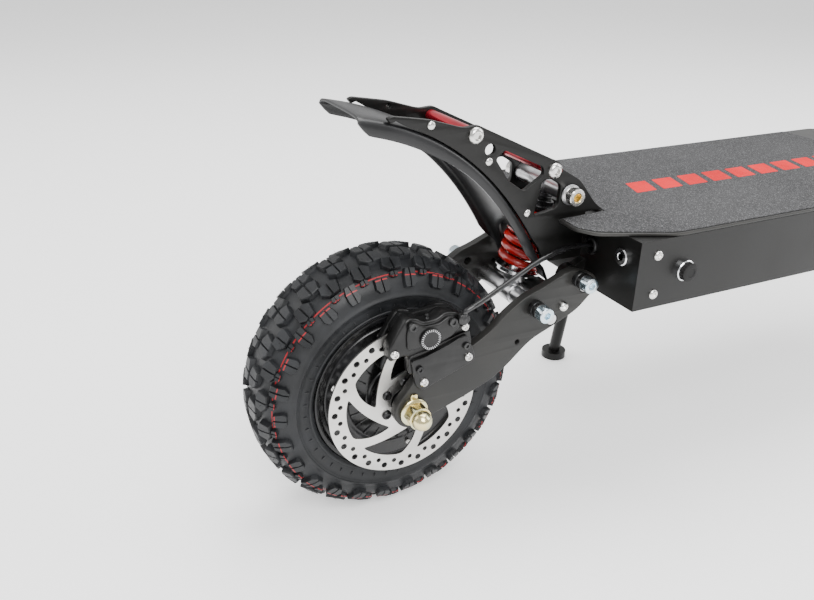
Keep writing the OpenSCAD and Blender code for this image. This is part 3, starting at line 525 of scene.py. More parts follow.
def plate(outline: list[Point], low: float, high: float, finish: Finish,
          holes: list[list[Point]] | None = None,
          soft: float = 0.8, stand: Matrix = UPRIGHT) -> bpy.types.Object:
    """A plate with holes and rounded edges.

    Args:
        outline: Its outline, as X and Z.
        low: Where it starts along Y.
        high: Where it ends.
        finish: Its finish.
        holes: Outlines of its holes.
        soft: Radius of its edges.
        stand: Turns its own XY plane upright.

    Returns:
        The plate, in millimetres.
    """
    flat = outline_curve("plate", [outline, *(holes or [])])
    flat.data.fill_mode = "BOTH"
    flat.data.extrude = (high - low) / 2 - soft
    flat.data.bevel_depth = soft
    flat.data.bevel_resolution = 2
    flat.data.offset = -soft
    mesh = evaluated(flat)
    made = show("plate", mesh, finish)
    along = Vector((0, (low + high) / 2, 0)) if stand is UPRIGHT else Vector((0, 0, (low + high) / 2))
    made.data.transform(Matrix.Translation(along) @ stand)
    return made


FLAT = Matrix.Identity(4)


def turned(profile: list[tuple[float, ...]], finish: Finish, sides: int = 48, closed: bool = False,
           angle: float = 38.0) -> bpy.types.Object:
    """A shape turned about the Y axis.

    Args:
        profile: Radius and Y of each ring; a third value of 6 makes that ring a hexagon.
        finish: Its finish.
        sides: Points round a ring.
        closed: Whether the last ring joins the first.
        angle: Corners sharper than this stay sharp, in degrees.

    Returns:
        The shape, in millimetres.
    """
    points, faces = [], []
    for ring in profile:
        for k in range(sides):
            a = 2 * math.pi * k / sides
            reach = ring[0]
            if len(ring) > 2:
                reach = ring[0] * math.cos(math.pi / 6) / math.cos(a % (math.pi / 3) - math.pi / 6)
            points.append((reach * math.cos(a), ring[1], reach * math.sin(a)))
    count = len(profile)
    for i in range(count if closed else count - 1):
        j = (i + 1) % count
        for k in range(sides):
            m = (k + 1) % sides
            faces.append((i * sides + k, i * sides + m, j * sides + m, j * sides + k))
    mesh = shaped("turned", points, faces)
    cleaned(mesh, outward=False)
    return show("turned", mesh, finish, angle)


def moved(piece: bpy.types.Object, x: float = 0.0, y: float = 0.0, z: float = 0.0,
          turn: Matrix | None = None) -> bpy.types.Object:
    """Turns a piece's mesh about its own origin, and then shifts it."""
    piece.data.transform(Matrix.Translation((x, y, z)) @ (turn or Matrix.Identity(4)))
    return piece


def mirrored(piece: bpy.types.Object) -> bpy.types.Object:
    """A copy of a piece on the other side of the wheel's middle plane."""
    twin = linked(piece.name, piece.data.copy())
    twin.data.transform(Matrix.Diagonal((1, -1, 1, 1)))
    twin.data.flip_normals()
    return twin


def swept(path: list[Place], radius: float, finish: Finish, rings: int = 8,
          ) -> bpy.types.Object:
    """A round bar that runs smoothly through the points of a path.

    Args:
        path: The points.
        radius: The bar's radius.
        finish: Its finish.
        rings: Rings between two points.

    Returns:
        The bar, in millimetres.
    """
    data = bpy.data.curves.new("swept", "CURVE")
    data.dimensions = "3D"
    data.resolution_u = rings
    data.bevel_depth = radius
    data.bevel_resolution = 3
    data.use_fill_caps = True
    spline = data.splines.new("BEZIER")
    spline.bezier_points.add(len(path) - 1)
    for point, place in zip(spline.bezier_points, path):
        point.co = place
        point.handle_left_type = point.handle_right_type = "AUTO"
    return show("swept", evaluated(linked("swept", data)), finish)


def joined(name: str, parts: list[bpy.types.Object]) -> bpy.types.Object:
    """Joins several meshes into one object, each with its own finish."""
    if len(parts) > 1:
        with bpy.context.temp_override(active_object=parts[0], object=parts[0], selected_objects=parts,
                                       selected_editable_objects=parts):
            bpy.ops.object.join()
    parts[0].name = name
    return parts[0]


def settle(piece: bpy.types.Object, place: Matrix, body: str, slot: str, *nodes: str) -> bpy.types.Object:
    """Carries a finished mesh to the row frame and ties it to its body.

    Args:
        piece: The mesh, in millimetres.
        place: Its sub-assembly's frame.
        body: The CAD body that it rides on.
        slot: The record's material slot; not used.
        nodes: CAD nodes that it stands for.

    Returns:
        The piece.
    """
    piece.data.transform(place)
    if place.determinant() < 0:
        piece.data.flip_normals()
    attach(piece, body)
    if nodes:
        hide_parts(*nodes)
    LOG.info("%s rides on %s", piece.name, body)
    return piece


# ---------------------------------------------------------------- geometry node trees

class Tree:
    """A Geometry Nodes tree with named inputs, which ends in one finish."""

    def __init__(self, name: str, inputs: dict[str, str]) -> None:
        """Starts the tree.

        Args:
            name: The tree's name.
            inputs: Each input's name and socket type.
        """
        self.group = bpy.data.node_groups.new(name, "GeometryNodeTree")
        face = self.group.interface
        face.new_socket("Geometry", in_out="INPUT", socket_type="NodeSocketGeometry")
        self.keys = {}
        for label, kind in {**inputs, "Finish": "NodeSocketMaterial"}.items():
            self.keys[label] = face.new_socket(label, in_out="INPUT", socket_type=kind).identifier
        face.new_socket("Geometry", in_out="OUTPUT", socket_type="NodeSocketGeometry")
        self.source = self.group.nodes.new("NodeGroupInput")

    def node(self, kind: str, links: dict[object, object] | None = None, **values: object) -> bpy.types.Node:
        """Adds a node, with what goes into its sockets.

        Args:
            kind: The node's type.
            links: What each input takes: a socket or a value.
            values: Its properties.

        Returns:
            The node.
        """
        made = self.group.nodes.new(kind)
        for key, value in values.items():
            setattr(made, key, value)
        for key, value in (links or {}).items():
            if isinstance(value, bpy.types.NodeSocket):
                self.group.links.new(value, made.inputs[key])
            else:
                made.inputs[key].default_value = value
        return made

    def given(self, label: str) -> bpy.types.NodeSocket:
        """The socket that carries a named input."""
        return self.source.outputs[label]

    def fan(self, count: bpy.types.NodeSocket, start: object, axis: str) -> dict[str, bpy.types.NodeSocket]:
        """Points whose copies turn evenly about an axis.

        Args:
            count: How many.
            start: The first one's turn.
            axis: The axis's letter.

        Returns:
            What an Instance on Points node takes as its points and rotation.
        """
        points = self.node("GeometryNodePoints", {"Count": count})
        index = self.node("GeometryNodeInputIndex")
        step = self.node("ShaderNodeMath", {0: 2 * math.pi, 1: count}, operation="DIVIDE")
        angle = self.node("ShaderNodeMath", {0: index.outputs[0], 1: step.outputs[0], 2: start},
                          operation="MULTIPLY_ADD")
        turn = self.node("ShaderNodeCombineXYZ", {axis: angle.outputs[0]})
        return {"Points": points.outputs[0], "Rotation": turn.outputs[0]}

    def end(self, last: bpy.types.NodeSocket) -> None:
        """Realizes what was instanced and sets the finish."""
        real = self.node("GeometryNodeRealizeInstances", {0: last})
        done = self.node("GeometryNodeSetMaterial", {0: real.outputs[0], "Material": self.given("Finish")})
        out = self.group.nodes.new("NodeGroupOutput")
        self.group.links.new(done.outputs[0], out.inputs[0])

    def run(self, base: bpy.types.Mesh | None, finish: Finish, **values: object) -> bpy.types.Object:
        """Runs the tree on a mesh and keeps the result as a plain mesh.

        Args:
            base: What goes in, or none.
            finish: The finish of the result.
            values: The named inputs.

        Returns:
            The result.
        """
        holder = linked("holder", base or bpy.data.meshes.new("empty"))
        modifier = holder.modifiers.new("tree", "NODES")
        modifier.node_group = self.group
        modifier[self.keys["Finish"]] = finish.material()
        for label, value in values.items():
            modifier[self.keys[label]] = value
        return show("made", evaluated(holder), finish)


def ring_tree() -> Tree:
    """Sets copies of a piece round the Y axis."""
    tree = Tree("set_round_axle", {"Piece": "NodeSocketObject", "Count": "NodeSocketInt",
                                   "Turn": "NodeSocketFloat"})
    piece = tree.node("GeometryNodeObjectInfo", {"Object": tree.given("Piece")})
    copies = tree.node("GeometryNodeInstanceOnPoints", {
        "Instance": piece.outputs["Geometry"], **tree.fan(tree.given("Count"), tree.given("Turn"), "Y")})
    tree.end(copies.outputs[0])
    return tree


def spot_tree() -> Tree:
    """Sets a copy of a piece at each point, each spun about its own Y axis by chance."""
    tree = Tree("set_at_spots", {"Piece": "NodeSocketObject", "Size": "NodeSocketFloat",
                                 "Seed": "NodeSocketInt"})
    spin = tree.node("FunctionNodeRandomValue", {"Seed": tree.given("Seed")}, data_type="FLOAT")
    spin.inputs[3].default_value = math.pi / 3
    turn = tree.node("ShaderNodeCombineXYZ", {"Y": spin.outputs[1]})
    piece = tree.node("GeometryNodeObjectInfo", {"Object": tree.given("Piece")})
    copies = tree.node("GeometryNodeInstanceOnPoints", {
        "Points": tree.given("Geometry"), "Instance": piece.outputs["Geometry"], "Rotation": turn.outputs[0],
        "Scale": tree.given("Size")})
    tree.end(copies.outputs[0])
    return tree


def coil_tree() -> Tree:
    """A coil spring along Z, from its turns, radii, height and wire."""
    tree = Tree("coil_spring", {"Turns": "NodeSocketFloat", "Low radius": "NodeSocketFloat",
                                "High radius": "NodeSocketFloat", "Height": "NodeSocketFloat",
                                "Wire": "NodeSocketFloat"})
    coil = tree.node("GeometryNodeCurveSpiral", {
        "Resolution": 40, "Rotations": tree.given("Turns"), "Start Radius": tree.given("Low radius"),
        "End Radius": tree.given("High radius"), "Height": tree.given("Height")})
    ring = tree.node("GeometryNodeCurvePrimitiveCircle", {"Resolution": 14, "Radius": tree.given("Wire")})
    tube = tree.node("GeometryNodeCurveToMesh", {
        "Curve": coil.outputs[0], "Profile Curve": ring.outputs[0], "Fill Caps": True})
    tree.end(tube.outputs[0])
    return tree


def disc_tree() -> Tree:
    """A punched disc: a bore, two rows of holes and a ring of windows, pressed through a round sheet."""
    tree = Tree("punched_disc", {
        "Radius": "NodeSocketFloat", "Bore": "NodeSocketFloat", "Thickness": "NodeSocketFloat",
        "Outer hole": "NodeSocketFloat", "Outer row": "NodeSocketFloat", "Outer count": "NodeSocketInt",
        "Inner hole": "NodeSocketFloat", "Inner row": "NodeSocketFloat", "Inner count": "NodeSocketInt",
        "Outer turn": "NodeSocketFloat", "Inner turn": "NodeSocketFloat",
        "Window": "NodeSocketObject", "Windows": "NodeSocketInt"})
    join = tree.node("GeometryNodeJoinGeometry")
    for label, sides in (("Radius", 180), ("Bore", 48)):
        edge = tree.node("GeometryNodeCurvePrimitiveCircle",
                         {"Resolution": sides, "Radius": tree.given(label)})
        tree.group.links.new(edge.outputs[0], join.inputs[0])
    window = tree.node("GeometryNodeObjectInfo", {"Object": tree.given("Window")})
    punches = [(window.outputs["Geometry"], None, tree.given("Windows"), 0.0)]
    for row in ("Outer", "Inner"):
        hole = tree.node("GeometryNodeCurvePrimitiveCircle",
                         {"Resolution": 20, "Radius": tree.given(f"{row} hole")})
        punches.append((hole.outputs[0], tree.given(f"{row} row"), tree.given(f"{row} count"),
                        tree.given(f"{row} turn")))
    for shape, reach, count, start in punches:
        if reach:
            out = tree.node("ShaderNodeCombineXYZ", {"X": reach})
            shift = tree.node("GeometryNodeTransform", {0: shape, "Translation": out.outputs[0]})
            shape = shift.outputs[0]
        copies = tree.node("GeometryNodeInstanceOnPoints", {"Instance": shape, **tree.fan(count, start, "Z")})
        real = tree.node("GeometryNodeRealizeInstances", {0: copies.outputs[0]})
        tree.group.links.new(real.outputs[0], join.inputs[0])
    face = tree.node("GeometryNodeFillCurve", {0: join.outputs[0]})
    press = tree.node("GeometryNodeExtrudeMesh", {
        "Mesh": face.outputs[0], "Offset Scale": tree.given("Thickness"), "Individual": False})
    back = tree.node("GeometryNodeFlipFaces", {0: face.outputs[0]})
    both = tree.node("GeometryNodeJoinGeometry")
    for half in (press, back):
        tree.group.links.new(half.outputs[0], both.inputs[0])
    whole = tree.node("GeometryNodeMergeByDistance", {0: both.outputs[0], "Distance": 0.001})
    tree.end(whole.outputs[0])
    return tree


class Trees:
    """The trees, each made once."""

    def __init__(self) -> None:
        """Builds every tree."""
        self.ring = ring_tree()
        self.spots = spot_tree()
        self.coil = coil_tree()
        self.disc = disc_tree()

    def round_axle(self, piece: bpy.types.Object, count: int, turn: float,
                   finish: Finish) -> bpy.types.Object:
        """Copies of a piece round the Y axis, and the piece itself deleted.

        Args:
            piece: What is repeated.
            count: How many.
            turn: Where the first one goes, in degrees.
            finish: Their finish.

        Returns:
            The copies as one mesh.
        """
        made = self.ring.run(None, finish, Piece=piece, Count=count, Turn=math.radians(turn))
        bpy.data.objects.remove(piece)
        return made

    def at_spots(self, piece: bpy.types.Object, spots: list[Place], finish: Finish,
                 size: float = 1.0, seed: int = 1) -> bpy.types.Object:
        """A copy of a piece at each spot, and the piece itself deleted.

        Args:
            piece: What is repeated.
            spots: Where.
            finish: Their finish.
            size: Scale of each copy.
            seed: Picks how each one is spun.

        Returns:
            The copies as one mesh.
        """
        made = self.spots.run(shaped("spots", spots, []), finish, Piece=piece, Size=size, Seed=seed)
        bpy.data.objects.remove(piece)
        return made


# ---------------------------------------------------------------- fasteners

class Head(Enum):
    """The kinds of screw head."""

    BUTTON = "button"
    CAP = "cap"
    DOME = "dome"


@dataclass(frozen=True)
class Screw:
    """A screw head with a hexagon socket, standing on Y = 0 and looking along -Y."""

    radius: float
    height: float
    head: Head = Head.BUTTON
    sides: int = 24

    def build(self, finish: Finish) -> bpy.types.Object:
        """Makes the head, in millimetres."""
        r, h = self.radius, self.height
        socket = [(r * 0.52, -h), (r * 0.5, -h + 0.1, 6), (r * 0.48, -h * 0.5, 6), (0, -h * 0.5)]
        if self.head is Head.BUTTON:
            side = [(0, 0), (r, 0), (r, -h * 0.3), (r * 0.94, -h * 0.58), (r * 0.8, -h * 0.84),
                    (r * 0.62, -h)]
        elif self.head is Head.CAP:
            side = [(0, 0), (r, 0), (r, -h + 0.9), (r * 0.97, -h + 0.35), (r * 0.9, -h)]
        else:
            side = [(0, 0), (r, 0), (r, -h * 0.25), (r * 0.9, -h * 0.6), (r * 0.68, -h * 0.88),
                    (r * 0.35, -h)]
            socket = [(0, -h)]
        return turned([*side, *socket], finish, self.sides)


# ---------------------------------------------------------------- wheel

@dataclass
class Tyre:
    """A knobbly tyre: a turned carcass, blocks set round it, moulding hairs and sidewall bars."""

    end: End
    trees: Trees
    pitches: int = 13
    crown: float = 136.6
    tall: float = 6.0
    casing: tuple[Point, ...] = ((136.6, 0), (136.2, 8), (135.4, 15), (134.0, 22), (130.2, 28.6),
                                 (126.2, 33.6),
                                 (121.8, 37.4), (117, 39.8), (112, 41.2), (106, 41.8), (100, 41.4))

    def build(self) -> bpy.types.Object:
        """Makes the whole tyre in the wheel's frame, in millimetres."""
        parts = [self.carcass()]
        half = [self.block((0, 10.8), self.tall - 0.6, self.chunk(11.6, 8.8, 2.0)),
                self.block((1, 9.6), self.tall, self.chunk(10.2, 7.6, -2.2)),
                self.block((0.5, 26.8), 5.8, self.chunk(9.8, 7.0, 2.6)),
                self.block((1.52, 25.2), 5.6, self.chunk(10.6, 6.4, -2.0)),
                self.block((0.04, 43.0), 4.8, self.lug(8.6, 6.4, 1.2)),
                self.block((1.06, 40.6), 5.2, self.lug(7.4, 8.6, -1.2)),
                self.block((0.56, 36.4), 4.2, self.chunk(4.6, 2.6, 0.8)),
                self.block((1.56, 36.0), 4.0, self.chunk(4.8, 2.8, -0.8))]
        tread = [self.around(piece) for piece in half]
        hairs = [self.hair((0.5, 26.8), self.tall - 0.8, 0.0), self.hair((1.5, 25.6), self.tall - 1.0, 3.4),
                 self.hair((0.0, 12.0), self.tall - 0.9, -3.0), self.hair((1.0, 10.0), self.tall - 0.3, 3.0),
                 self.hair((0.1, 36.0), 2.0, 1.0), self.hair((1.1, 33.4), 2.2, -2.6)]
        tread += [self.around(piece) for piece in hairs]
        bars = self.trees.round_axle(self.sidewall_bar(), 44, 0, TYRE_RUBBER[self.end.name])
        one_side = joined("side", [*tread, bars])
        other = mirrored(one_side)
        other.data.transform(Matrix.Rotation(math.pi / self.pitches, 4, "Y"))
        return joined(f"{self.end.name}_tyre_tread", [*parts, one_side, other])

    def finish(self) -> Finish:
        """The rubber of this wheel's tyre."""
        return TYRE_RUBBER[self.end.name]

    def carcass(self) -> bpy.types.Object:
        """The casing under the blocks, with its bead lines."""
        half = [*self.casing[:-2], (108.4, 42.2), (107.8, 42.9), (106.6, 43.1), (106.0, 42.2), (100, 41.4),
                (95, 40.3),
                (92.4, 39.5), (91.8, 40.1), (90.4, 40.1), (89.6, 39.2), (87.6, 37.8), (86.9, 36.6),
                (86.8, 34.0)]
        inner = [(99, 33.5), (110, 34), (120, 30), (127, 18), (129, 0)]
        ring = half[::-1] + [(r, -y) for r, y in half[1:]]
        back = [(r, -y) for r, y in inner[:-1]] + inner[::-1]
        return turned([*ring, *back], self.finish(), 120, closed=True, angle=60)

    def chunk(self, along: float, wide: float, skew: float) -> list[Point]:
        """The plan of a tread block, a six-sided lump leaning one way."""
        return [(-along, -wide * 0.55), (-along * 0.35, -wide), (along * 0.8, -wide + 0.6),
                (along, wide * 0.3 + skew * 0.4),
                (along * 0.4, wide), (-along * 0.75, wide - 0.8)]

    def lug(self, along: float, wide: float, skew: float) -> list[Point]:
        """The plan of a sidewall lug, waisted and leaning one way."""
        return [(-along * 0.8 + skew, -wide), (along * 0.7 + skew, -wide), (along * 0.9, -wide * 0.3),
                (along, wide * 0.4),
                (along * 0.7 - skew, wide), (-along * 0.6 - skew, wide), (-along, wide * 0.5),
                (-along * 0.85, -wide * 0.35)]

    def block(self, where: Point, tall: float, plan: list[Point]) -> bpy.types.Object:
        """A tread block with drafted sides, a chamfered top and a cut across it.

        Args:
            where: Its pitch and its distance from the middle plane, over the casing.
            tall: How far it stands off the casing.
            plan: Its outline, along the tyre and across it.

        Returns:
            The block.
        """
        halves = []
        slit = 0.45
        for side in (-1, 1):
            cut = [(max(u, slit) if side > 0 else min(u, -slit), v) for u, v in plan]
            halves.append([p for i, p in enumerate(cut) if p != cut[i - 1]])
        points, faces = [], []
        layers = [(plan, ((-1.6, 1.14), (tall * 0.6, 1.0)))]
        layers += [(cut, ((tall * 0.55, 1.0), (tall - 0.7, 0.97), (tall, 0.88))) for cut in halves]
        for outline, rings in layers:
            middle = Vector((sum(p[0] for p in outline), sum(p[1] for p in outline))) / len(outline)
            first = len(points)
            count = len(outline)
            for height, scale in rings:
                points += [self.raised(where, height, middle + (Vector(p) - middle) * scale) for p in outline]
            for i in range(len(rings) - 1):
                for k in range(count):
                    m = (k + 1) % count
                    a = first + i * count
                    faces.append((a + k, a + m, a + count + m, a + count + k))
            faces.append(tuple(first + (len(rings) - 1) * count + k for k in range(count)))
            faces.append(tuple(first + k for k in reversed(range(count))))
        mesh = shaped("block", points, faces)
        return show("block", mesh, self.finish(), 25)

    def raised(self, where: Point, height: float, plan: Vector) -> Vector:
        """A point over the casing: its distance from the middle plane is measured along the rubber."""
        left = where[1] + plan.y
        for (r0, y0), (r1, y1) in zip(self.casing, self.casing[1:]):
            step = math.hypot(r1 - r0, y1 - y0)
            if left <= step:
                break
            left -= step
        share = left / step
        reach = r0 + (r1 - r0) * share + height * (y1 - y0) / step
        across = y0 + (y1 - y0) * share + height * (r0 - r1) / step
        angle = plan.x / self.crown + where[0] * math.pi / self.pitches
        return Vector((reach * math.cos(angle), across, reach * math.sin(angle)))

    def hair(self, where: Point, start: float, shift: float) -> bpy.types.Object:
        """A moulding hair on top of a block."""
        points = [self.raised(where, start, Vector((shift + 0.32 * math.cos(a), 0.32 * math.sin(a))))
                  for a in (0, 2.1, 4.2)]
        stand = 3.0 if where[1] > 20 else 6.5 - start
        points.append(self.raised(where, start + stand, Vector((shift + 0.6, 0.4))))
        mesh = shaped("hair", points, [(0, 1, 3), (1, 2, 3), (2, 0, 3), (2, 1, 0)])
        return show("hair", mesh, self.finish())

    def sidewall_bar(self) -> bpy.types.Object:
        """A short raised bar on the sidewall."""
        return moved(plate(rounded([(95.5, -1.0), (99.5, -0.9), (99.5, 0.3), (95.5, 0.4)], 0.3, 2),
                           39.4, 41.7, self.finish(), soft=0.2))

    def around(self, piece: bpy.types.Object) -> bpy.types.Object:
        """Sets a piece round the whole tyre."""
        return self.trees.round_axle(piece, self.pitches, 0.0, self.finish())


def tyre_finish(end: End) -> Finish:
    """The rubber of one tyre, with its red line and mould ring centred on that axle."""
    return Finish(f"{end.name}_tyre_rubber", "tyre_rubber", (0.006, 0.0066, 0.0075), (0.015, 0.016, 0.018),
                  0.5, shine=0.32,
                  spread=0.2, mottle=38, grain=1500, relief=0.35, pattern=Pattern.TYRE,
                  centre=tuple(end.axle))


TYRE_RUBBER = {end.name: tyre_finish(end) for end in (REAR, FRONT)}


@dataclass
class Hub:
    """A hub motor: rim, covers, boss, rotor and their screws."""

    end: End
    trees: Trees
    rotor_radius: float = 80.0
    rotor_face: float = -59.0
    screw_ring: float = 68.5
    cover_face: float = 36.8
    rim_face: float = 38.2

    def motor(self) -> bpy.types.Object:
        """The motor's shell, with stepped covers and a rolled rim lip."""
        half = [(0, 46), (33, 46), (34.6, 45.5), (35.6, 44.4), (52, 43.2), (54, 42.2), (56, 39.8), (58, 38.2),
                (60.5, self.cover_face), (74.4, self.cover_face), (75.4, 36.2), (76.4, 34.6), (79.4, 34.4),
                (80.4, 35.2), (81.4, 37.0), (82.2, self.rim_face), (84.6, self.rim_face + 0.4),
                (86, self.rim_face),
                (86.7, 37.2), (86.4, 35), (85.8, 30), (84, 24), (80, 20)]
        shell = turned([*half, *[(r, -y) for r, y in half[::-1]]], HUB_BLACK, 120)
        right = turned([(0, -44), (30, -45.9), (30, -56), (29, -57), (0, -57)], HUB_BLACK)
        left = turned([(0, 44), (22, 45.9), (22, 49.2), (21.2, 50), (0, 50)], HUB_BLACK)
        fins = self.trees.round_axle(plate(rounded([(40, -0.9), (53, -1.1), (53, 1.1), (40, 0.9)], 0.7, 2),
                                           40, 44.6,
                                           HUB_BLACK, soft=0.5), 24, 0, HUB_BLACK)
        return joined(f"{self.end.name}_motor_shell", [shell, right, left, fins, mirrored(fins)])

    def rotor(self) -> bpy.types.Object:
        """The brake disc, punched with two rows of holes and six curved windows."""
        window = outline_curve("window", [rounded(self.window(), 5.0, 3)])
        disc = self.trees.disc.run(
            None, rotor_steel(self.end), **{
                "Radius": self.rotor_radius, "Bore": 14.5, "Thickness": 2.0, "Outer hole": 3.2,
                "Outer row": self.rotor_radius - 6.3, "Outer count": 24, "Outer turn": math.radians(-1.5),
                "Inner hole": 2.5, "Inner row": self.rotor_radius - 11.4, "Inner count": 24,
                "Inner turn": math.radians(6.5), "Window": window, "Windows": 6})
        bpy.data.objects.remove(window)
        moved(disc, turn=UPRIGHT)
        low = min(v.co.y for v in disc.data.vertices)
        return joined(f"{self.end.name}_brake_disc", [moved(disc, y=self.rotor_face - low)])

    def window(self) -> list[Point]:
        """The gap between two swept arms of the disc: a bent triangle, broad at the friction ring."""
        def at(reach: float, turn: float) -> Vector:
            return Vector((reach * math.cos(math.radians(turn)), reach * math.sin(math.radians(turn))))
        lead, trail, tip = at(62, 164), at(62, 208), at(30.5, 240)
        steps = 8
        outline = []
        for start, stop, bulge in ((lead, tip, 4.0), (tip, trail, 5.0)):
            along = (stop - start).normalized()
            bend = (start + stop) / 2 + Vector((along.y, -along.x)) * (2 * bulge
                                                                       if start is lead else -2 * bulge)
            outline += [start * (1 - t) ** 2 + bend * (2 * t * (1 - t)) + stop * t * t
                        for t in (k / steps for k in range(steps))]
        outline += [at(62, 208 - 44 * k / 6) for k in range(6)]
        return [tuple(p) for p in outline]

    def screws(self) -> bpy.types.Object:
        """The disc's button bolts and the covers' small screws."""
        bolts = self.trees.round_axle(moved(Screw(5.0, 3.0).build(SCREW_BLACK), x=22, y=self.rotor_face), 6,
                                      -30,
                                      SCREW_BLACK)
        small = self.trees.round_axle(moved(Screw(3.1, 1.9, sides=12).build(STEEL), x=self.screw_ring,
                                            y=-self.cover_face),
                                      6, -44, STEEL)
        return joined(f"{self.end.name}_hub_fasteners", [bolts, small, mirrored(small)])


def rotor_steel(end: End) -> Finish:
    """Brushed steel whose rings are centred on one axle."""
    return Finish(f"{end.name}_rotor_steel", "rotor_steel", (0.60, 0.59, 0.57), (0.50, 0.49, 0.47), 0.34,
                  metal=1.0,
                  spread=0.1, mottle=24, grain=1500, relief=0.25, pattern=Pattern.TURNED,
                  centre=tuple(end.axle))


# ---------------------------------------------------------------- swing arm

PIVOT = (194.0, 98.0)
EYE_TOP = (187.0, 186.0)
EYE_LOW = (156.0, 67.0)
CLAMPS = ((133.5, 85.0), (184.5, 107.5))
BRIDGE_BOLT = (168.0, 80.0)


@dataclass
class SwingArm:
    """Two side plates with their clamp bolts, and the axle with its nuts."""

    end: End
    trees: Trees
    right: float = -68.0
    left: float = 54.0
    thick: float = 10.0
    heel: float = 19.0
    nose: float = 14.0

    def outline(self) -> list[Point]:
        """The side plate's outline, round at the axle and at the pivot."""
        def arc(centre: Point, radius: float, start: float, stop: float, steps: int) -> list[Point]:
            turns = [math.radians(start + (stop - start) * k / steps) for k in range(steps + 1)]
            return [(centre[0] + radius * math.cos(a), centre[1] + radius * math.sin(a)) for a in turns]
        heel = arc((0, 0), self.heel, 141, 309, 18)
        nose = arc(PIVOT, self.nose, -60, 66, 12)
        under = rounded([(8, -14), (39, -5), (64, 4), (87, 13), (104, 24), (132, 49), (155, 58), (187, 72),
                         (201, 86)], 12)
        over = rounded([(199, 111), (176, 119), (138, 103), (121, 98), (99, 83), (86, 70), (66, 58),
                        (56, 54.5),
                        (5, 38.5, 8), (-14, 12)], 9)
        return [*heel, *under[6:-6], *nose, *over[6:-6]]

    def plates(self) -> bpy.types.Object:
        """Both side plates and the bridge between them."""
        holes = [circle((0, 0), 8.1), circle(PIVOT, 7.05), circle(EYE_LOW, 6.1), circle((116, 50), 2.6, 16)]
        holes += [circle(p, 4.1) for p in CLAMPS] + [circle(BRIDGE_BOLT, 2.6, 16)]
        sides = [plate(self.outline(), y, y + self.thick, ARM_BLACK, holes, soft=1.0)
                 for y in (self.right - self.thick, self.left)]
        bridge = plate(rounded([(170, 66), (187, 73.2), (188, 82), (170, 75)], 2), self.right - 0.1,
                       self.left + 0.1,
                       ARM_BLACK)
        return joined(f"{self.end.name}_arm_plates", [*sides, bridge])

    def bolts(self) -> bpy.types.Object:
        """Clamp bolts on their black spacers, the bridge bolts and the lower damper bolt."""
        spacer = turned([(0, 0), (8.6, 0), (8.6, -5.4), (8.1, -6), (8.6, -6.6), (8.6, -11.6), (8.2, -12),
                         (0, -12)],
                        SCREW_BLACK)
        cap = moved(Screw(8.0, 10.0, Head.CAP, 36).build(ZINC_BLUE), y=-12)
        small = Screw(5.2, 4.4).build(STEEL)
        shaft = turned([(0, self.right - self.thick), (5.4, self.right - self.thick),
                        (6, self.right - self.thick + 0.6),
                        (6, self.left + self.thick - 0.6), (5.4, self.left + self.thick),
                        (0, self.left + self.thick)],
                       ALUMINIUM)
        sleeve = turned([(0, self.right), (9, self.right), (9, -12.3), (0, -12.3)], ALUMINIUM)
        far = turned([(0, 12.3), (9, 12.3), (9, self.left), (0, self.left)], ALUMINIUM)
        for piece in (shaft, sleeve, far):
            moved(piece, x=EYE_LOW[0], z=EYE_LOW[1])
        clamps = [(x, 0, z) for x, z in CLAMPS]
        heads = [self.trees.at_spots(spacer, clamps, SCREW_BLACK),
                 self.trees.at_spots(cap, clamps, ZINC_BLUE, seed=4),
                 self.trees.at_spots(small, [(BRIDGE_BOLT[0], 0, BRIDGE_BOLT[1])], STEEL)]
        near = joined("near", heads)
        other = moved(mirrored(near), y=self.left + self.thick)
        moved(near, y=self.right - self.thick)
        return joined(f"{self.end.name}_arm_fasteners", [near, other, shaft, sleeve, far])

    def axle_nuts(self) -> bpy.types.Object:
        """The acorn nuts on their tab washers."""
        tab = [*[(14 * math.cos(a), 14 * math.sin(a))
                 for a in [math.radians(104.5 + 331 * k / 30) for k in range(31)]],
               (3.5, 18), (2.5, 19), (-2.5, 19), (-3.5, 18)]
        washer = plate(tab, -2.5, 0, ZINC_YELLOW, [circle((0, 0), 8.1)], soft=0.4)
        nut = turned([(8.1, -2.5), (14.5, -2.5), (14.5, -3.8), (13.8, -4.5), (12.4, -5.1, 6),
                      (12.4, -15.6, 6), (11.4, -16.4),
                      (10, -16.8), (10, -19.5), (9.7, -21.5), (8.9, -23.8), (7.3, -26.2), (4.8, -28.4),
                      (2.2, -29.3),
                      (0, -29.5)], ZINC_YELLOW, 48)
        near = joined("nut", [washer, nut])
        other = moved(mirrored(near), y=self.left + self.thick)
        return joined(f"{self.end.name}_acorn_nuts", [moved(near, y=self.right - self.thick), other])

    def axle(self) -> bpy.types.Object:
        """The axle's shoulders, where they show beside the arms."""
        right = turned([(0, -59.6), (12.5, -59.6), (13, -60.2), (13, -67.4), (12.5, -68), (8, -68), (8, -96),
                        (0, -96)],
                       SCREW_BLACK)
        left = turned([(0, 50.6), (12.5, 50.6), (13, 51.2), (13, 53.4), (12.5, 54), (8, 54), (8, 82),
                       (0, 82)],
                      SCREW_BLACK)
        return joined(f"{self.end.name}_axle_shoulders", [right, left])


# ---------------------------------------------------------------- brake

HOSE_ROUTE = ((50, -82, 97.2), (51.5, -83, 99.8), (56, -83.6, 102.2), (64, -83, 105), (76, -81.4, 109.4),
              (90, -79, 114.4),
              (106, -76, 119.8), (122, -72.6, 125), (138, -69, 129.6), (156, -65.5, 133), (174, -62.6, 134.8),
              (190, -61, 135.2),
              (205, -60.2, 134.4), (220, -60, 133), (240, -60, 132))


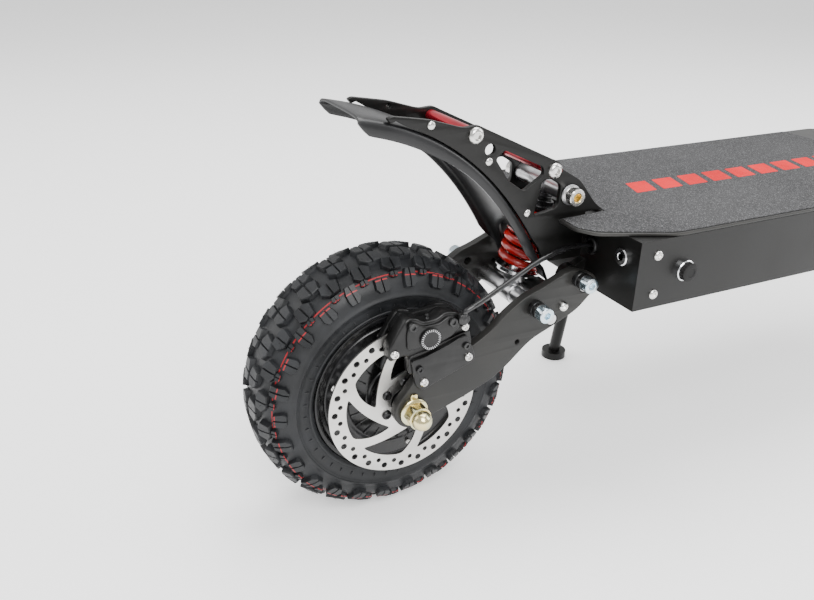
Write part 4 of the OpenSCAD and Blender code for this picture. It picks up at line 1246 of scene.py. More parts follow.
@dataclass
class Brake:
    """A two-part caliper on its bracket."""

    end: End
    trees: Trees
    outer: float = -80.0
    shoe_out: float = -60.6
    shoe_in: float = -55.4
    inner: float = -47.6
    clear: float = 82.5

    def outline(self) -> list[Point]:
        """The caliper's side, with its two lobes and its ears."""
        return rounded([(-25, 58.5, 3), (-25, 73, 5), (-17, 87, 4), (-8, 100.4, 6), (3, 98.6, 6), (10, 93, 5),
                        (22, 93.5, 6),
                        (31, 99, 6), (44, 97.6, 6), (57.4, 88, 5), (59.8, 80, 4), (55, 74.5, 3),
                        (47, 73.5, 3),
                        (36, 68.5, 4), (20, 63.5, 5), (9, 60.5, 3), (-5, 58.6, 3), (-10, 62, 3),
                        (-16, 60, 3)], 4)

    def body(self) -> bpy.types.Object:
        """Both halves, the bridge over the disc and the foot on the bracket."""
        outer = plate(self.outline(), self.outer + 3, self.shoe_out, CALIPER_BLACK, soft=2.2)
        step = [(-8, 68), (-9, 84), (-6, 97), (0, 96), (8, 90), (24, 90), (34, 96), (42, 94), (48, 84),
                (40, 74), (22, 68.5)]
        cover = plate(rounded(step, 4), self.outer, self.outer + 5, CALIPER_BLACK, soft=1.6)
        inner = plate(self.outline(), self.shoe_in, self.inner, CALIPER_BLACK, soft=1.5)
        arc = [(self.clear * math.cos(a), self.clear * math.sin(a))
               for a in [math.radians(58 + 44 * k / 12) for k in range(13)]]
        bridge = plate([*arc, (-16.6, 87), (-7, 99.5), (4, 96.6), (30, 98.8), (44, 97), (57, 88), (58.6, 80),
                        (54, 75)],
                       self.shoe_out - 0.5, self.shoe_in + 0.5, CALIPER_BLACK, soft=0.3)
        foot = plate(rounded([(-5, 60), (-5, 41), (4, 40.8), (56, 57.8), (63, 60.5), (59.6, 75.6),
                              (20, 65.6)], 3),
                     -77.8, -66, CALIPER_BLACK, soft=1.0)
        return joined(f"{self.end.name}_caliper_body", [outer, cover, inner, bridge, foot, *self.trim()])

    def trim(self) -> list[bpy.types.Object]:
        """The adjuster disc with its ticks, the body screws, the bleed nipple and the banjo."""
        disc = turned([(0, -1), (11, -1), (11, 2.2), (10.4, 2.9), (9.2, 3.0), (8.8, 2.4), (0, 2.4)],
                      CALIPER_BLACK)
        tick = plate(rounded([(8.0, -0.28), (10.3, -0.34), (10.3, 0.34), (8.0, 0.28)], 0.1, 1), -3.1, -2.2,
                     ALUMINIUM,
                     soft=0.1)
        ticks = self.trees.round_axle(tick, 28, 0, ALUMINIUM)
        moved(disc, turn=Matrix.Rotation(math.pi, 4, "Z"))
        moved(joined("adjuster", [disc, ticks]), x=15, y=self.outer, z=77)
        adjuster = bpy.data.objects["adjuster"]
        spots = [(-3.5, self.outer, 92.5), (39, self.outer, 89.5)]
        heads = self.trees.at_spots(Screw(4.6, 2.6, Head.CAP).build(SCREW_BLACK), spots, SCREW_BLACK)
        ears = self.trees.at_spots(Screw(4.4, 3.2, Head.BUTTON).build(STEEL),
                                   [(-20, self.outer + 3, 66), (54, self.outer + 3, 80)], STEEL)
        nipple = moved(turned([(0, 0), (2.6, 0), (2.6, 3, 6), (2.0, 3.4), (1.6, 5), (2.2, 6), (1.6, 7.4),
                               (0, 7.6)],
                              SCREW_BLACK, 24), x=16, y=-70, z=91, turn=UPRIGHT)
        banjo = moved(turned([(0, 1), (6, 1), (6, -3), (5.4, -3.6), (4.4, -3.8, 6), (4.4, -4, 6), (0, -4)],
                             SCREW_BLACK, 24),
                      x=50, y=self.outer, z=91)
        fitting = swept([(50, -82, 88), (50, -82, 92), (50, -82, 96.9)], 3.2, SCREW_BLACK)
        return [adjuster, heads, ears, nipple, banjo, fitting]

    def bracket(self) -> bpy.types.Object:
        """The plate that ties the caliper to the arm, with its four screws."""
        holes = [circle(p, 2.2, 16) for p in ((9, 32), (57, 49), (4, 47), (54, 62))]
        flat = plate(rounded([(-4.6, 57, 3), (9, 59), (20, 62), (36, 67), (47, 72), (54.6, 72.8, 2), (60, 61),
                              (65, 49, 5),
                              (62, 42, 4), (20, 27.6), (8, 22.4, 5), (1, 28, 4)], 4), -82, -78, CALIPER_BLACK,
                     holes, 0.7)
        silver = self.trees.at_spots(Screw(4.5, 3.0).build(STEEL), [(9, -82, 32), (57, -82, 49)], STEEL)
        black = self.trees.at_spots(Screw(3.7, 2.5, Head.CAP).build(SCREW_BLACK),
                                    [(4, -82, 47), (54, -82, 62)], SCREW_BLACK)
        return joined(f"{self.end.name}_caliper_plate", [flat, silver, black])

    def hose(self) -> bpy.types.Object:
        """The brake hose along its route to the deck."""
        return joined("rear_hose", [swept(list(HOSE_ROUTE), 2.6, HOSE_BLACK, 6)])


HOSE_BLACK = Finish("hose_sleeve_black", "rubber", (0.004, 0.004, 0.004), (0.008, 0.008, 0.009), 0.28,
                    coat=0.4, shine=0.4,
                    mottle=60, grain=1500, relief=0.08)


# ---------------------------------------------------------------- damper

@dataclass
class Damper:
    """A coil-over damper: its body above, its rod below and the red spring between."""

    end: End
    trees: Trees
    seat_top: float = -22.0
    seat_thick: float = 5.0
    low_seat: float = -95.0
    spring_radius: float = 24.5
    wire: float = 4.6
    coils: float = 5.5

    @property
    def length(self) -> float:
        """Distance between the two eyes."""
        return (Vector(EYE_TOP) - Vector(EYE_LOW)).length

    @property
    def place(self) -> Matrix:
        """The damper's frame: its upper eye, with Z up its axis."""
        tilt = math.atan2(EYE_TOP[0] - EYE_LOW[0], EYE_TOP[1] - EYE_LOW[1])
        return self.end.place @ Matrix.Translation((EYE_TOP[0], 0, EYE_TOP[1])) @ Matrix.Rotation(tilt, 4,
                                                                                                  "Y")

    def eye(self, height: float, finish: Finish) -> bpy.types.Object:
        """An eye with its bush."""
        ring = turned([(8.4, -11.4), (8.4, -12), (10.4, -12), (11, -11.4), (11, 11.4), (10.4, 12), (8.4, 12),
                       (8.4, 11.4),
                       (7.8, 12), (6.1, 12), (6.1, -12), (7.8, -12)], finish, closed=True)
        return moved(ring, z=height)

    def upright(self, profile: list[tuple[float, ...]], finish: Finish,
                closed: bool = False) -> bpy.types.Object:
        """A shape turned about the damper's axis, from radius and height."""
        return moved(turned(profile, finish, closed=closed), turn=UPRIGHT)

    def body(self) -> bpy.types.Object:
        """The tube, its preload collar and its eye."""
        tube = self.upright([(0, -84), (6.9, -84), (13, -84), (13.5, -83.4), (13.5, -11), (12.4, -9.8),
                             (0, -9.6)], PLASTIC)
        top, low = self.seat_top, self.seat_top - self.seat_thick
        collar = self.upright([(13.4, low), (23.6, low), (24.5, low + 0.9), (24.5, low + 2.1),
                               (23.9, low + 2.5),
                               (24.5, low + 2.9), (24.5, top - 0.8), (23.8, top), (17, top), (17, top + 4.4),
                               (16.4, top + 5),
                               (13.4, top + 5)], SCREW_BLACK, closed=True)
        rib = moved(turned([(0, 0), (1.1, 0), (1.1, 4.2), (0, 4.2)], SCREW_BLACK, 8), x=23.6, z=0)
        ribs = moved(self.trees.round_axle(rib, 16, 0, SCREW_BLACK), z=low + 0.4, turn=UPRIGHT)
        rings = [self.upright([(13.4, z), (14.3, z + 0.6), (13.4, z + 1.2)], SCREW_BLACK, closed=True)
                 for z in (-17 + 1.6 * k for k in range(3))]
        return joined(f"{self.end.name}_damper_tube", [tube, collar, ribs, *rings, self.eye(0, ALUMINIUM)])

    def rod(self) -> bpy.types.Object:
        """The chromed rod, the lower spring cup and its eye."""
        seat, foot = self.low_seat, -self.length
        rod = self.upright([(0, foot + 8), (6, foot + 8), (6, foot + 75.4), (5.5, foot + 76), (0, foot + 76)],
                           CHROME)
        cup = self.upright([(5.9, seat - 5), (23.4, seat - 5), (24.5, seat - 4), (24.5, seat - 0.8),
                            (23.8, seat), (5.9, seat)],
                           CHROME, closed=True)
        neck = self.upright([(5.9, seat - 14), (11.4, seat - 14), (12, seat - 13), (12, seat - 5.2),
                             (5.9, seat - 5.2)],
                            ALUMINIUM, closed=True)
        fork = self.upright([(0, foot + 6), (9, foot + 7), (9, foot + 13.8), (0, foot + 13.9)], ALUMINIUM)
        return joined(f"{self.end.name}_damper_shaft", [rod, cup, neck, fork, self.eye(foot, ALUMINIUM)])

    def spring(self) -> bpy.types.Object:
        """The coil, a little wider at its foot."""
        low = self.low_seat + self.wire + 0.2
        high = self.seat_top - self.seat_thick - self.wire - 0.2
        mean = self.spring_radius - self.wire
        coil = self.trees.coil.run(None, SPRING_RED, **{
            "Turns": self.coils, "Low radius": mean, "High radius": mean - 0.8, "Height": high - low,
            "Wire": self.wire})
        return joined(f"{self.end.name}_coil", [moved(coil, z=low)])

    def shortened(self, pose: float) -> float:
        """The spring's height with the arm turned, as a share of its height at rest.

        Args:
            pose: The arm's angle, in degrees.

        Returns:
            The share.
        """
        turn = math.radians(pose)
        arm = Vector(EYE_LOW) - Vector(PIVOT)
        low = Vector(PIVOT) + Vector((arm.x * math.cos(turn) + arm.y * math.sin(turn),
                                      arm.y * math.cos(turn) - arm.x * math.sin(turn)))
        travel = self.length - (Vector(EYE_TOP) - low).length
        height = self.seat_top - self.seat_thick - self.low_seat
        return (height - travel) / height


# ---------------------------------------------------------------- rear fender and its carrier

@dataclass
class FenderSet:
    """The rear fender, the two plates that carry it, the red cross tubes and their bolts."""

    trees: Trees
    plate_out: float = 46.5
    plate_thick: float = 5.5
    half: float = 47.0
    skirt: float = 17.0
    wall: float = 2.6
    curve: tuple[Point, ...] = ((-41, 283), (52, 269), (122, 209), (173, 97))
    cross: tuple[Point, ...] = ((73, 256), (165, 213))
    screws: tuple[Point, ...] = ((89, 230), (27, 269), (137, 173))
    notch: float = 29.5
    tuck: float = 3.6

    def along(self, t: float) -> Vector:
        """A point on the fender's back, from its tail at 0 to its foot at 1."""
        a, b, c, d = (Vector(p) for p in self.curve)
        return a * (1 - t) ** 3 + b * (3 * t * (1 - t) ** 2) + c * (3 * t * t * (1 - t)) + d * t ** 3

    def inward(self, t: float) -> Vector:
        """The direction towards the wheel at a point on the fender's back."""
        d = self.along(min(t + 0.01, 1)) - self.along(max(t - 0.01, 0))
        return Vector((d.y, -d.x)).normalized() * -1 if d.y > 0 else Vector((d.y, -d.x)).normalized()

    def depth(self, t: float) -> float:
        """How far the skirt hangs at a point on the fender's back."""
        rise = min(1.0, max(0.0, (t + 0.035) / 0.085))
        fall = min(1.0, max(0.0, (0.95 - t) / 0.07))
        slim = min(1.0, max(0.0, (t - 0.3) / 0.2))
        return 3.4 + (self.skirt - 2.5 * slim - 3.4) * (rise * rise * (3 - 2 * rise)) * math.sqrt(fall)

    def spring_gap(self, y: float) -> float:
        """Where the notch round the spring starts, as a share of the way along."""
        if abs(y) >= self.notch - 0.8:
            return 1.0
        reach = math.sqrt(self.notch ** 2 - y * y)
        top, low = Vector(EYE_TOP), Vector(EYE_LOW)
        axis = (low - top).normalized()
        side = Vector((-axis.y, axis.x))
        for k in range(400):
            t = 0.5 + k / 800
            if abs((self.along(t) - top).dot(side)) < reach:
                return t
        return 1.0

    def shell(self) -> bpy.types.Object:
        """The moulded fender: a crowned back, round shoulders, skirts and a scooped tail."""
        across = [0, 8, 16, 22, 26, 28.2, 29.6, 33, 37, 40.5, 43.2, 45.2, 46.5, 47, 47, 47]
        drop = [0, 0.05, 0.2, 0.4, 0.6, 0.75, 0.8, 1.1, 1.6, 2.3, 3.3, 4.8, 6.8]
        steps = 48
        points, faces = [], []
        columns = [-y for y in across[:0:-1]] + across
        for c, y in enumerate(columns):
            rank = abs(c - (len(across) - 1))
            stop = self.spring_gap(y)
            for i in range(steps + 1):
                t = stop * i / steps
                deep = self.depth(t)
                if rank < len(drop):
                    sink = drop[rank] * min(1.0, deep / 8)
                else:
                    sink = max(drop[-1] * min(1.0, deep / 8),
                               0) + (deep - 6.8 * min(1.0, deep / 8)) * (rank - 12) / 3
                tail = max(0.0, 1 - t / 0.25)
                crown = -1.2 * tail * tail * (y / self.half) ** 2
                at = self.along(t) + self.inward(t) * (0.4 + sink + crown)
                points.append((at.x, y, at.y))
        rows = steps + 1
        for c in range(len(columns) - 1):
            for i in range(steps):
                a = c * rows + i
                faces.append((a, a + 1, a + rows + 1, a + rows))
        mesh = shaped("fender", points, faces)
        skin = show("fender", mesh, SHELL_BLACK, 60)
        solid = skin.modifiers.new("wall", "SOLIDIFY")
        solid.thickness = self.wall
        solid.offset = self.solid_side(skin)
        solid.use_even_offset = True
        smooth = skin.modifiers.new("smooth", "BEVEL")
        smooth.width = 0.7
        smooth.segments = 2
        smooth.limit_method = "ANGLE"
        smooth.angle_limit = math.radians(50)
        made = show("fender", evaluated(skin), SHELL_BLACK, 50)
        return joined("rear_fender_shell", [made])

    def solid_side(self, skin: bpy.types.Object) -> float:
        """The offset that grows the wall towards the wheel."""
        top = min(skin.data.polygons, key=lambda f: f.center.y ** 2 + (f.center.x - 40) ** 2)
        return -1.0 if top.normal.z > 0 else 1.0

    def outline(self) -> list[Point]:
        """A carrier plate's outline: straight stretches above, the fender's line below."""
        shares = [0.885 - 0.76 * k / 20 for k in range(21)]
        below = [tuple(self.along(t) + self.inward(t) * self.tuck * math.sin(math.pi * i / 20) ** 0.3)
                 for i, t in enumerate(shares)]
        above = [(-16.5, 278), (-11, 280, 2), (26, 274), (60, 264), (67, 264.4, 3), (76, 265.2, 5),
                 (84, 261.2, 4),
                 (163, 224.2, 4), (171, 221, 5), (174.6, 213.6, 3), (198, 200, 8), (208, 188, 8),
                 (220, 173, 8), (231, 164.8, 1), (209.2, 164.8, 1), (209.2, 116.2, 2), (173, 116.2, 2),
                 (162, 119.5, 2)]
        return [*rounded(above, 6), *below]

    def plates(self) -> bpy.types.Object:
        """The two plates with their windows and holes."""
        holes = [circle(p, 4.1) for p in self.cross] + [circle(EYE_TOP, 6.1), circle((90, 241), 5.5)]
        holes += [circle(p, 2.1, 16) for p in self.screws]
        holes.append(rounded([(97, 231), (106, 239), (152, 217.5), (153, 210), (131, 196), (113, 208.5)], 3))
        holes.append(rounded([(152, 203.5), (161, 205.5), (175, 197), (174.5, 178), (169, 173), (145, 169)],
                             4))
        side = plate(self.outline(), self.plate_out - self.plate_thick, self.plate_out, PLATE_BLACK, holes,
                     soft=0.7)
        return joined("fender_side_plates", [side, mirrored(side)])

    def tubes(self) -> bpy.types.Object:
        """The red cross tubes between the plates."""
        inner = self.plate_out - self.plate_thick
        tube = turned([(4.2, -inner), (5.5, -inner), (6, -inner + 0.5), (6, inner - 0.5), (5.5, inner),
                       (4.2, inner)],
                      RED_TUBE, closed=True)
        spots = [(x, 0, z) for x, z in self.cross]
        return joined("red_cross_tubes", [self.trees.at_spots(tube, spots, RED_TUBE)])

    def bolts(self) -> bpy.types.Object:
        """Button bolts at the tubes and dome screws along the plates."""
        face = -self.plate_out
        big = self.trees.at_spots(Screw(8.0, 4.5).build(STEEL), [(x, face, z) for x, z in self.cross], STEEL,
                                  seed=3)
        small = self.trees.at_spots(Screw(4.0, 2.0, Head.DOME).build(STEEL),
                                    [(x, face, z) for x, z in self.screws], STEEL)
        rod = [moved(turned([(0, -41), (3.9, -41), (3.9, 41), (0, 41)], STEEL), x=x, z=z) for x,
               z in self.cross]
        side = joined("side", [big, small])
        return joined("carrier_fasteners", [side, mirrored(side), *rod])

    def eye_bolt(self, end: End, inner: float, outer: float) -> bpy.types.Object:
        """The bolt through the upper damper eye, its washers and the arm's stub shafts.

        Args:
            end: The wheel end.
            inner: Inner face of the plates that hold it.
            outer: Their outer face.

        Returns:
            The bolts as one mesh.
        """
        head = turned([(0, -3), (9, -3), (9, -3.6), (8.4, -4), (9, -4.4), (9, -12.2), (8.3, -13), (5.2, -13)],
                      STEEL)
        core = turned([(5.3, -12.95), (4.6, -12.2, 6), (4.2, -7, 6), (0, -7)], BRASS)
        washers = [turned([(5.9, y), (10.1, y), (10.5, y - 0.3), (10.5, y - 0.9), (10.1, y - 1.2),
                           (5.9, y - 1.2)], ALUMINIUM,
                          closed=True) for y in (-0.1, -1.6)]
        near = moved(joined("head", [head, core, *washers]), x=EYE_TOP[0], y=-outer, z=EYE_TOP[1])
        shaft = turned([(0, -outer - 3), (6, -outer - 3), (6, outer + 3), (0, outer + 3)], CHROME)
        collar = turned([(6, -inner), (8.6, -inner), (9, -inner + 0.5), (9, -12.8), (8.6, -12.3), (6, -12.3)],
                        ALUMINIUM,
                        closed=True)
        for piece in (shaft, collar):
            moved(piece, x=EYE_TOP[0], z=EYE_TOP[1])
        stub = turned([(0, -78), (6.4, -78), (7, -77.4), (7, -67.7), (10, -67.7), (10, -52), (7, -52),
                       (7, -38), (0, -38)],
                      ALUMINIUM)
        far = turned([(0, 64), (6.4, 64), (7, 63.4), (7, 53.7), (10, 53.7), (10, 52), (7, 52), (7, 38),
                      (0, 38)], ALUMINIUM)
        for piece in (stub, far):
            moved(piece, x=PIVOT[0], z=PIVOT[1])
        return joined(f"{end.name}_pivot_bolts",
                      [near, mirrored(near), shaft, collar, mirrored(collar), stub, far])


# ---------------------------------------------------------------- deck

@dataclass
class Deck:
    """The deck's plate, its grip tape, the red print and the box's small fittings."""

    trees: Trees
    width: float = 261.4
    back: float = 211.5
    front: float = 820.0
    top: float = 164.3
    plate_thick: float = 3.3
    mat_thick: float = 1.0
    mat_front: float = 696.0
    notch_x: float = 229.0
    notch_y: float = 50.0
    port: Point = (271.0, 123.0)
    side_screws: tuple[Point, ...] = ((234, 144), (235, 103))

    def outline(self, inset: float, front: float) -> list[tuple[float, ...]]:
        """The plate's plan, cut back round the carrier and cut off square at the front if that comes sooner.

        Args:
            inset: How far inside the plate's edge it lies.
            front: Where it ends.

        Returns:
            Its corners, each with a radius.
        """
        half = self.width / 2 - inset
        right = [(self.notch_x + inset, -self.notch_y, 2), (173 + inset, -self.notch_y - inset, 3),
                 (171 + inset, -self.notch_y - 29, 6), (182.5 + inset, -99 + inset, 8), (257, -half, 8)]
        if front < self.front - 70:
            right += [(front, -half, 6)]
        else:
            right += [(front - 70 + inset, -half, 6), (front, -self.width / 2 + 45, 6)]
        return [*right, *[(x, -y, r) for x, y, r in right[::-1]]]

    def plate(self) -> bpy.types.Object:
        """The top plate."""
        low = self.top - self.mat_thick - self.plate_thick
        made = plate(rounded(self.outline(0, self.front), 5), low, low + self.plate_thick, DECK_EDGE,
                     soft=0.9, stand=FLAT)
        return joined("deck_top_plate", [made])

    def corners(self) -> bpy.types.Object:
        """The box's folded top corners, under the plate's slanted edge."""
        half = self.width / 2
        low = self.top - self.mat_thick - self.plate_thick - 2.2
        fold = plate(rounded([(self.back + 0.2, -half + 0.2), (264, -half + 0.2), (264, -half + 8),
                              (232, -70),
                              (self.back + 0.2, -70)], 1.5, 2), low, low + 2.1, FRAME_BLACK, soft=0.5,
                     stand=FLAT)
        return joined("box_corner_folds", [fold, mirrored(fold)])

    def mat(self) -> bpy.types.Object:
        """The grip tape."""
        made = plate(rounded(self.outline(2.5, self.mat_front), 5), self.top - self.mat_thick, self.top,
                     GRIP_TAPE,
                     soft=0.3, stand=FLAT)
        return joined("grip_tape_sheet", [made])

    def print(self) -> bpy.types.Object:
        """A plain row of slanted red bars along the deck."""
        bars = []
        for k in range(PRINT_BARS):
            x = PRINT_START + k * PRINT_PITCH
            shape = [(x, PRINT_LOW), (x + PRINT_WIDE, PRINT_LOW), (x + PRINT_WIDE + PRINT_SLANT, PRINT_HIGH),
                     (x + PRINT_SLANT, PRINT_HIGH)]
            bars.append(plate(rounded(shape, 1.5, 3), self.top + 0.01, self.top + 0.13, PRINT_RED, soft=0.03,
                              stand=FLAT))
        return joined("deck_print", bars)

    def screws(self) -> bpy.types.Object:
        """The box's button screws on both sides."""
        places = [*self.side_screws, *[(self.front - x + self.back - 50, z) for x, z in self.side_screws]]
        heads = self.trees.at_spots(Screw(5.2, 2.6).build(STEEL),
                                    [(x, -self.width / 2, z) for x, z in places], STEEL, seed=2)
        return joined("deck_box_screws", [heads, mirrored(heads)])

    def rings(self) -> bpy.types.Object:
        """The charge port's chrome ring and the two glands in the back wall."""
        wall = -self.width / 2
        port = turned([(6.7, wall + 10), (6.7, wall - 3.4), (7.6, wall - 4), (10.2, wall - 4),
                       (11, wall - 3.2), (11, wall),
                       (8, wall), (8, wall + 10)], CHROME, closed=True)
        moved(port, x=self.port[0], z=self.port[1])
        glands = []
        for y, z, outer, inner, finish in ((-107, 138, 9, 3.5, CHROME), (-60, 133, 9.5, 5.6, SCREW_BLACK)):
            ring = turned([(inner, 5.9), (inner, -3), (inner + 0.6, -3.5), (outer - 1, -3.5), (outer, -2.6),
                           (outer, 0),
                           (7, 0), (7, 5.9)], finish, closed=True)
            glands.append(moved(ring, self.back, y, z, turn=Matrix.Rotation(-math.pi / 2, 4, "Z")))
        return joined("deck_rings", [port, *glands])

    def cap(self) -> bpy.types.Object:
        """The charge port's ribbed rubber cap."""
        wall = -self.width / 2
        cap = turned([(0, wall + 8), (6.5, wall + 8), (6.5, wall - 4.1), (9.2, wall - 4.1), (9.2, wall - 9.4),
                      (8.4, wall - 10),
                      (5.2, wall - 10), (4.8, wall - 9.5), (0, wall - 9.5)], RUBBER)
        rib = plate(rounded([(8.9, -0.5), (9.6, -0.45), (9.6, 0.45), (8.9, 0.5)], 0.2, 2), wall - 9.4,
                    wall - 4.4, RUBBER, soft=0.2)
        ribs = self.trees.round_axle(rib, 20, 0, RUBBER)
        return joined("charge_port_cap", [moved(joined("cap", [cap, ribs]), x=self.port[0], z=self.port[1])])


DECK_EDGE = black_metal("deck_plate_black", "frame_black", edge=0.0, level=0.02)
PRINT_BARS = 9
PRINT_START, PRINT_PITCH, PRINT_WIDE, PRINT_SLANT = 303.0, 38.0, 28.0, 10.0
PRINT_LOW, PRINT_HIGH = -16.0, 16.0


# ---------------------------------------------------------------- cockpit

@dataclass
class Cockpit:
    """The handlebar's own trimmings: ribbed grips, lamp lens and display glass."""

    trees: Trees
    rake: float = 12.0
    crown: Point = (70.0, 235.0)
    bar_height: float = 872.0
    grip_in: float = 182.0
    grip_out: float = 312.0
    grip_radius: float = 16.0
    bar_radius: float = 11.1

    @property
    def place(self) -> Matrix:
        """The stem's frame: Z up the steering axis from the crown."""
        foot = FRONT.axle + Vector((-self.crown[0], 0, self.crown[1])) * MM
        return Matrix.Translation(foot) @ Matrix.Rotation(math.radians(-self.rake), 4, "Y") @ Matrix.Scale(MM,
                                                                                                           4)

    def grips(self) -> bpy.types.Object:
        """Both grips: a flange, a run of ribs and a round end cap."""
        r = self.grip_radius
        ribs = []
        count = 17
        for k in range(count):
            y = self.grip_in + 10 + k * 6.2
            ribs += [(r - 1.1, y), (r - 0.1, y + 0.9), (r, y + 2.2), (r, y + 3.6), (r - 0.2, y + 4.6),
                     (r - 1.2, y + 5.4)]
        shape = [(self.bar_radius, self.grip_in), (r + 2.2, self.grip_in), (r + 3, self.grip_in + 0.9),
                 (r + 3, self.grip_in + 3.8),
                 (r + 1, self.grip_in + 5), (r - 1, self.grip_in + 7), *ribs, (r, self.grip_out - 9),
                 (r, self.grip_out - 3),
                 (r - 1.2, self.grip_out - 0.8), (r - 4, self.grip_out), (0, self.grip_out),
                 (0, self.grip_out - 6),
                 (self.bar_radius, self.grip_out - 6)]
        grip = moved(turned(shape, RUBBER, 64, closed=True, angle=50), z=self.bar_height)
        return joined("ribbed_grips", [grip, mirrored(grip)])

    def lamp_glass(self) -> bpy.types.Object:
        """The headlight's domed lens over its reflector."""
        lens = turned([(0, 6.6), (8, 6.3), (15, 5.3), (20, 3.6), (22.2, 1.8), (22.4, 0.2), (0, 0.2)], LENS,
                      64)
        return joined("headlight_lens", [moved(lens, x=55.4, z=self.bar_height - 110,
                                               turn=Matrix.Rotation(-math.pi / 2, 4, "Z"))])

    def display_glass(self) -> bpy.types.Object:
        """The display's glass with a plain ring of ticks."""
        glass = turned([(0, 0), (17.5, 0), (17.5, 0.5), (17, 0.9), (0, 1.1)], SCREEN, 64)
        tick = plate(rounded([(13.0, -0.35), (15.5, -0.35), (15.5, 0.35), (13.0, 0.35)], 0.1, 1), 1.0, 1.3,
                     TICKS, soft=0.05)
        ticks = self.trees.round_axle(tick, 24, 0, TICKS)
        top = joined("glass", [glass, ticks])
        return joined("display_glass", [moved(top, x=5, y=-142, z=self.bar_height + 30, turn=UPRIGHT)])


LENS = Finish("lamp_lens", "bare_aluminium", (0.8, 0.83, 0.86), (0.7, 0.74, 0.78), 0.06, metal=0.6, coat=1.0,
              mottle=80, relief=0.0)
SCREEN = Finish("display_dark_glass", "black_plastic", (0.004, 0.005, 0.008), (0.006, 0.008, 0.012), 0.06,
                coat=1.0,
                mottle=12, relief=0.0)
TICKS = Finish("display_ticks", "bare_aluminium", (0.5, 0.55, 0.6), (0.4, 0.45, 0.5), 0.4, mottle=50)


# ---------------------------------------------------------------- carried-over CAD nodes

DRESSING: dict[str, Finish] = {
    "deck_frame": FRAME_BLACK, "battery_pack": WRAP, "controllers": ALUMINIUM, "neck": FRAME_BLACK,
    "headset": ALUMINIUM,
    "kickstand": FRAME_BLACK, "fork": FRAME_BLACK, "stem_base": FRAME_BLACK, "stem_tube": FRAME_BLACK,
    "fold_latch": BUTTON_RED, "headlight": PLASTIC, "handlebar": ARM_BLACK, "lever_mounts": PLASTIC,
    "display_unit": PLASTIC, "switch_pod": PLASTIC, "throttle_trigger": RUBBER, "brake_lever_left": ARM_BLACK,
    "brake_lever_right": ARM_BLACK, "mode_button": BUTTON_RED, "horn_button": BUTTON_RED,
    "front_fender": SHELL_BLACK, "rear_axle": SCREW_BLACK, "front_axle": SCREW_BLACK,
    "fork_pivots": ALUMINIUM,
}


def dress(nodes: dict[str, bpy.types.Object]) -> None:
    """Gives each CAD node that still shows its finish.

    Args:
        nodes: The frame's nodes.
    """
    for name, finish in DRESSING.items():
        node = nodes[name]
        if node.material_slots:
            for holder in node.material_slots:
                holder.material = finish.material()
        else:
            node.data.materials.append(finish.material())
        LOG.info("dressed %s in %s", name, finish.name)


# ---------------------------------------------------------------- studio

@dataclass
class Studio:
    """A pale floor, soft lights and the camera."""

    eye: Place = (-0.8435, -0.6779, 0.5810)
    right: Place = (0.89580, -0.44398, 0.02020)
    up: Place = (0.17316, 0.39052, 0.90415)
    lens: float = 36.38
    floor_half: float = 30.0
    sky: float = 0.85

    def floor(self) -> None:
        """A wide plain floor."""
        reach = self.floor_half
        corners = [(-reach, -reach, 0), (reach, -reach, 0), (reach, reach, 0), (-reach, reach, 0)]
        mesh = shaped("floor", corners, [(0, 1, 2, 3)])
        floor = linked("studio_floor", mesh)
        mesh.materials.append(FLOOR.material())

    def lamp(self, name: str, place: Place, aim: Place, size: float,
             power: float) -> None:
        """A soft square light.

        Args:
            name: Its name.
            place: Where it hangs, in metres.
            aim: What it faces.
            size: Its side, in metres.
            power: Its power, in watts.
        """
        data = bpy.data.lights.new(name, "AREA")
        data.size = size
        data.energy = power
        made = linked(name, data)
        made.location = place
        made.rotation_euler = (Vector(aim) - Vector(place)).to_track_quat("-Z", "Y").to_euler()

    def build(self) -> None:
        """Sets the floor, the lights, the surroundings and the camera."""
        self.floor()
        self.lamp("key", (-0.9, -1.9, 2.0), (-0.3, 0, 0.2), 1.5, 80)
        self.lamp("fill", (-2.6, 1.4, 1.5), (-0.4, 0, 0.2), 2.0, 35)
        self.lamp("top", (0.3, 0.4, 2.8), (-0.2, 0, 0.2), 2.2, 95)
        self.lamp("front", (2.6, -0.8, 1.8), (0.3, 0, 0.5), 2.0, 60)
        world = bpy.data.worlds.new("studio")
        world.use_nodes = True
        world.node_tree.nodes["Background"].inputs["Color"].default_value = (1.0, 1.0, 1.0, 1.0)
        world.node_tree.nodes["Background"].inputs["Strength"].default_value = self.sky
        bpy.context.scene.world = world
        data = bpy.data.cameras.new("camera")
        data.lens = self.lens
        camera = linked("camera", data)
        right, up = Vector(self.right), Vector(self.up)
        turn = Matrix((right, up, right.cross(up))).transposed()
        camera.matrix_world = Matrix.Translation(self.eye) @ turn.to_4x4()
        bpy.context.scene.camera = camera


FLOOR = Finish("pale_floor", "", (0.94, 0.94, 0.94), (0.92, 0.92, 0.92), 0.8, mottle=0.5, relief=0.0,
               glow=0.42)


# ---------------------------------------------------------------- the whole scooter

def build_wheel(end: End, trees: Trees) -> None:
    """Makes one wheel and ties it to its body."""
    name, body = end.name, end.body("wheel")
    hub = Hub(end, trees)
    settle(Tyre(end, trees).build(), end.place, body, "tyre_rubber", f"{name}_tyre")
    settle(hub.motor(), end.place, body, "motor_black", f"{name}_hub_motor")
    settle(hub.rotor(), end.place, body, "rotor_steel", f"{name}_rotor")
    settle(hub.screws(), end.place, body, "bright_steel", f"{name}_hub_screws")


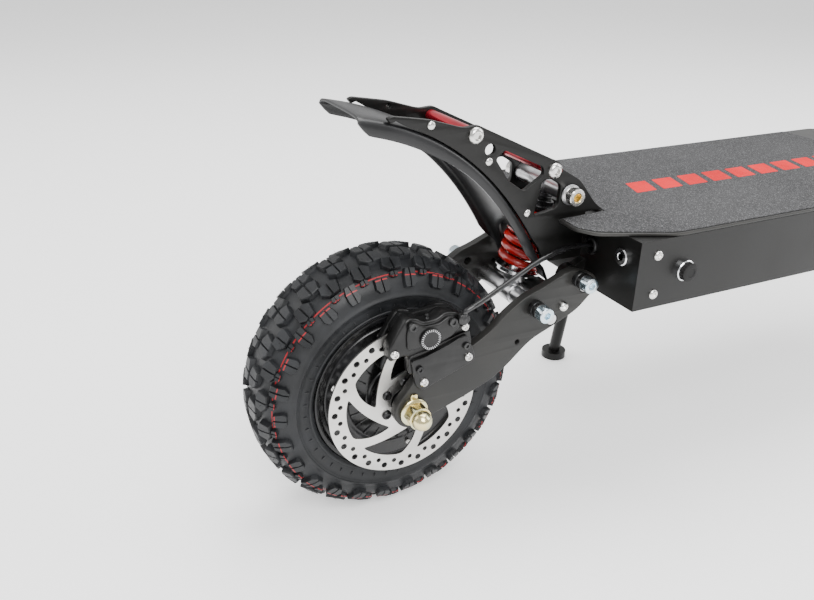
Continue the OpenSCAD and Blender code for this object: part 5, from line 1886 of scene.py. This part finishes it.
def build_arm(end: End, trees: Trees) -> None:
    """Makes one swing arm with its axle hardware and its brake."""
    name, body = end.name, end.body("arm")
    arm, brake = SwingArm(end, trees), Brake(end, trees)
    settle(arm.plates(), end.place, body, "anodised_black", f"{name}_swing_arm")
    settle(arm.bolts(), end.place, body, "zinc_blue", f"{name}_arm_bolts")
    settle(arm.axle_nuts(), end.place, body, "zinc_yellow", f"{name}_axle_nuts")
    settle(brake.body(), end.place, body, "anodised_black", f"{name}_caliper")
    settle(brake.bracket(), end.place, body, "anodised_black", f"{name}_caliper_bracket")
    if end is REAR:
        settle(brake.hose(), end.place, body, "rubber", "rear_brake_hose")


def build_damper(end: End, trees: Trees) -> None:
    """Makes one damper: its body, its rod and its spring."""
    name = end.name
    damper = Damper(end, trees)
    settle(damper.body(), damper.place, end.body("damper"), "anodised_black", f"{name}_damper_body")
    settle(damper.rod(), damper.place, end.body("rod"), "bare_aluminium", f"{name}_damper_rod")
    spring = settle(damper.spring(), damper.place, end.body("damper"), "spring_red", f"{name}_spring")
    axis = damper.place.to_3x3() @ Vector((0, 0, 1))
    anchor = damper.place @ Vector((0, 0, damper.seat_top - damper.seat_thick))
    round(damper.shortened(9.0), 3)
    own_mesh(spring)


def main() -> None:
    """Builds every sub-assembly in order."""
    logging.basicConfig(level=logging.INFO, format="%(message)s")
    trees = Trees()
    for end in (REAR, FRONT):
        build_wheel(end, trees)
        build_arm(end, trees)
        build_damper(end, trees)
    fender = FenderSet(trees)
    settle(fender.shell(), REAR.place, "chassis", "fender_plastic", "rear_fender")
    settle(fender.plates(), REAR.place, "chassis", "anodised_black", "fender_carrier")
    settle(fender.tubes(), REAR.place, "chassis", "red_anodised", "cross_tubes")
    settle(fender.bolts(), REAR.place, "chassis", "bright_steel", "carrier_bolts")
    settle(fender.eye_bolt(REAR, 41.0, 46.5), REAR.place, "chassis", "bright_steel", "rear_pivots")
    deck = Deck(trees)
    settle(deck.plate(), REAR.place, "chassis", "frame_black", "deck_plate")
    settle(deck.corners(), REAR.place, "chassis", "frame_black")
    settle(deck.mat(), REAR.place, "chassis", "grip_mat", "grip_mat")
    settle(deck.print(), REAR.place, "chassis", "red_anodised")
    settle(deck.screws(), REAR.place, "chassis", "bright_steel", "frame_screws")
    settle(deck.rings(), REAR.place, "chassis", "bright_steel", "panel_rings")
    settle(deck.cap(), REAR.place, "charge_cap", "rubber", "charge_cap")
    cockpit = Cockpit(trees)
    settle(cockpit.grips(), cockpit.place, "stem", "rubber", "grips")
    settle(cockpit.lamp_glass(), cockpit.place, "stem", "bare_aluminium")
    settle(cockpit.display_glass(), cockpit.place, "stem", "black_plastic")
    dress(frame["nodes"])
    Studio().build()


if __name__ == "__main__":
    main()
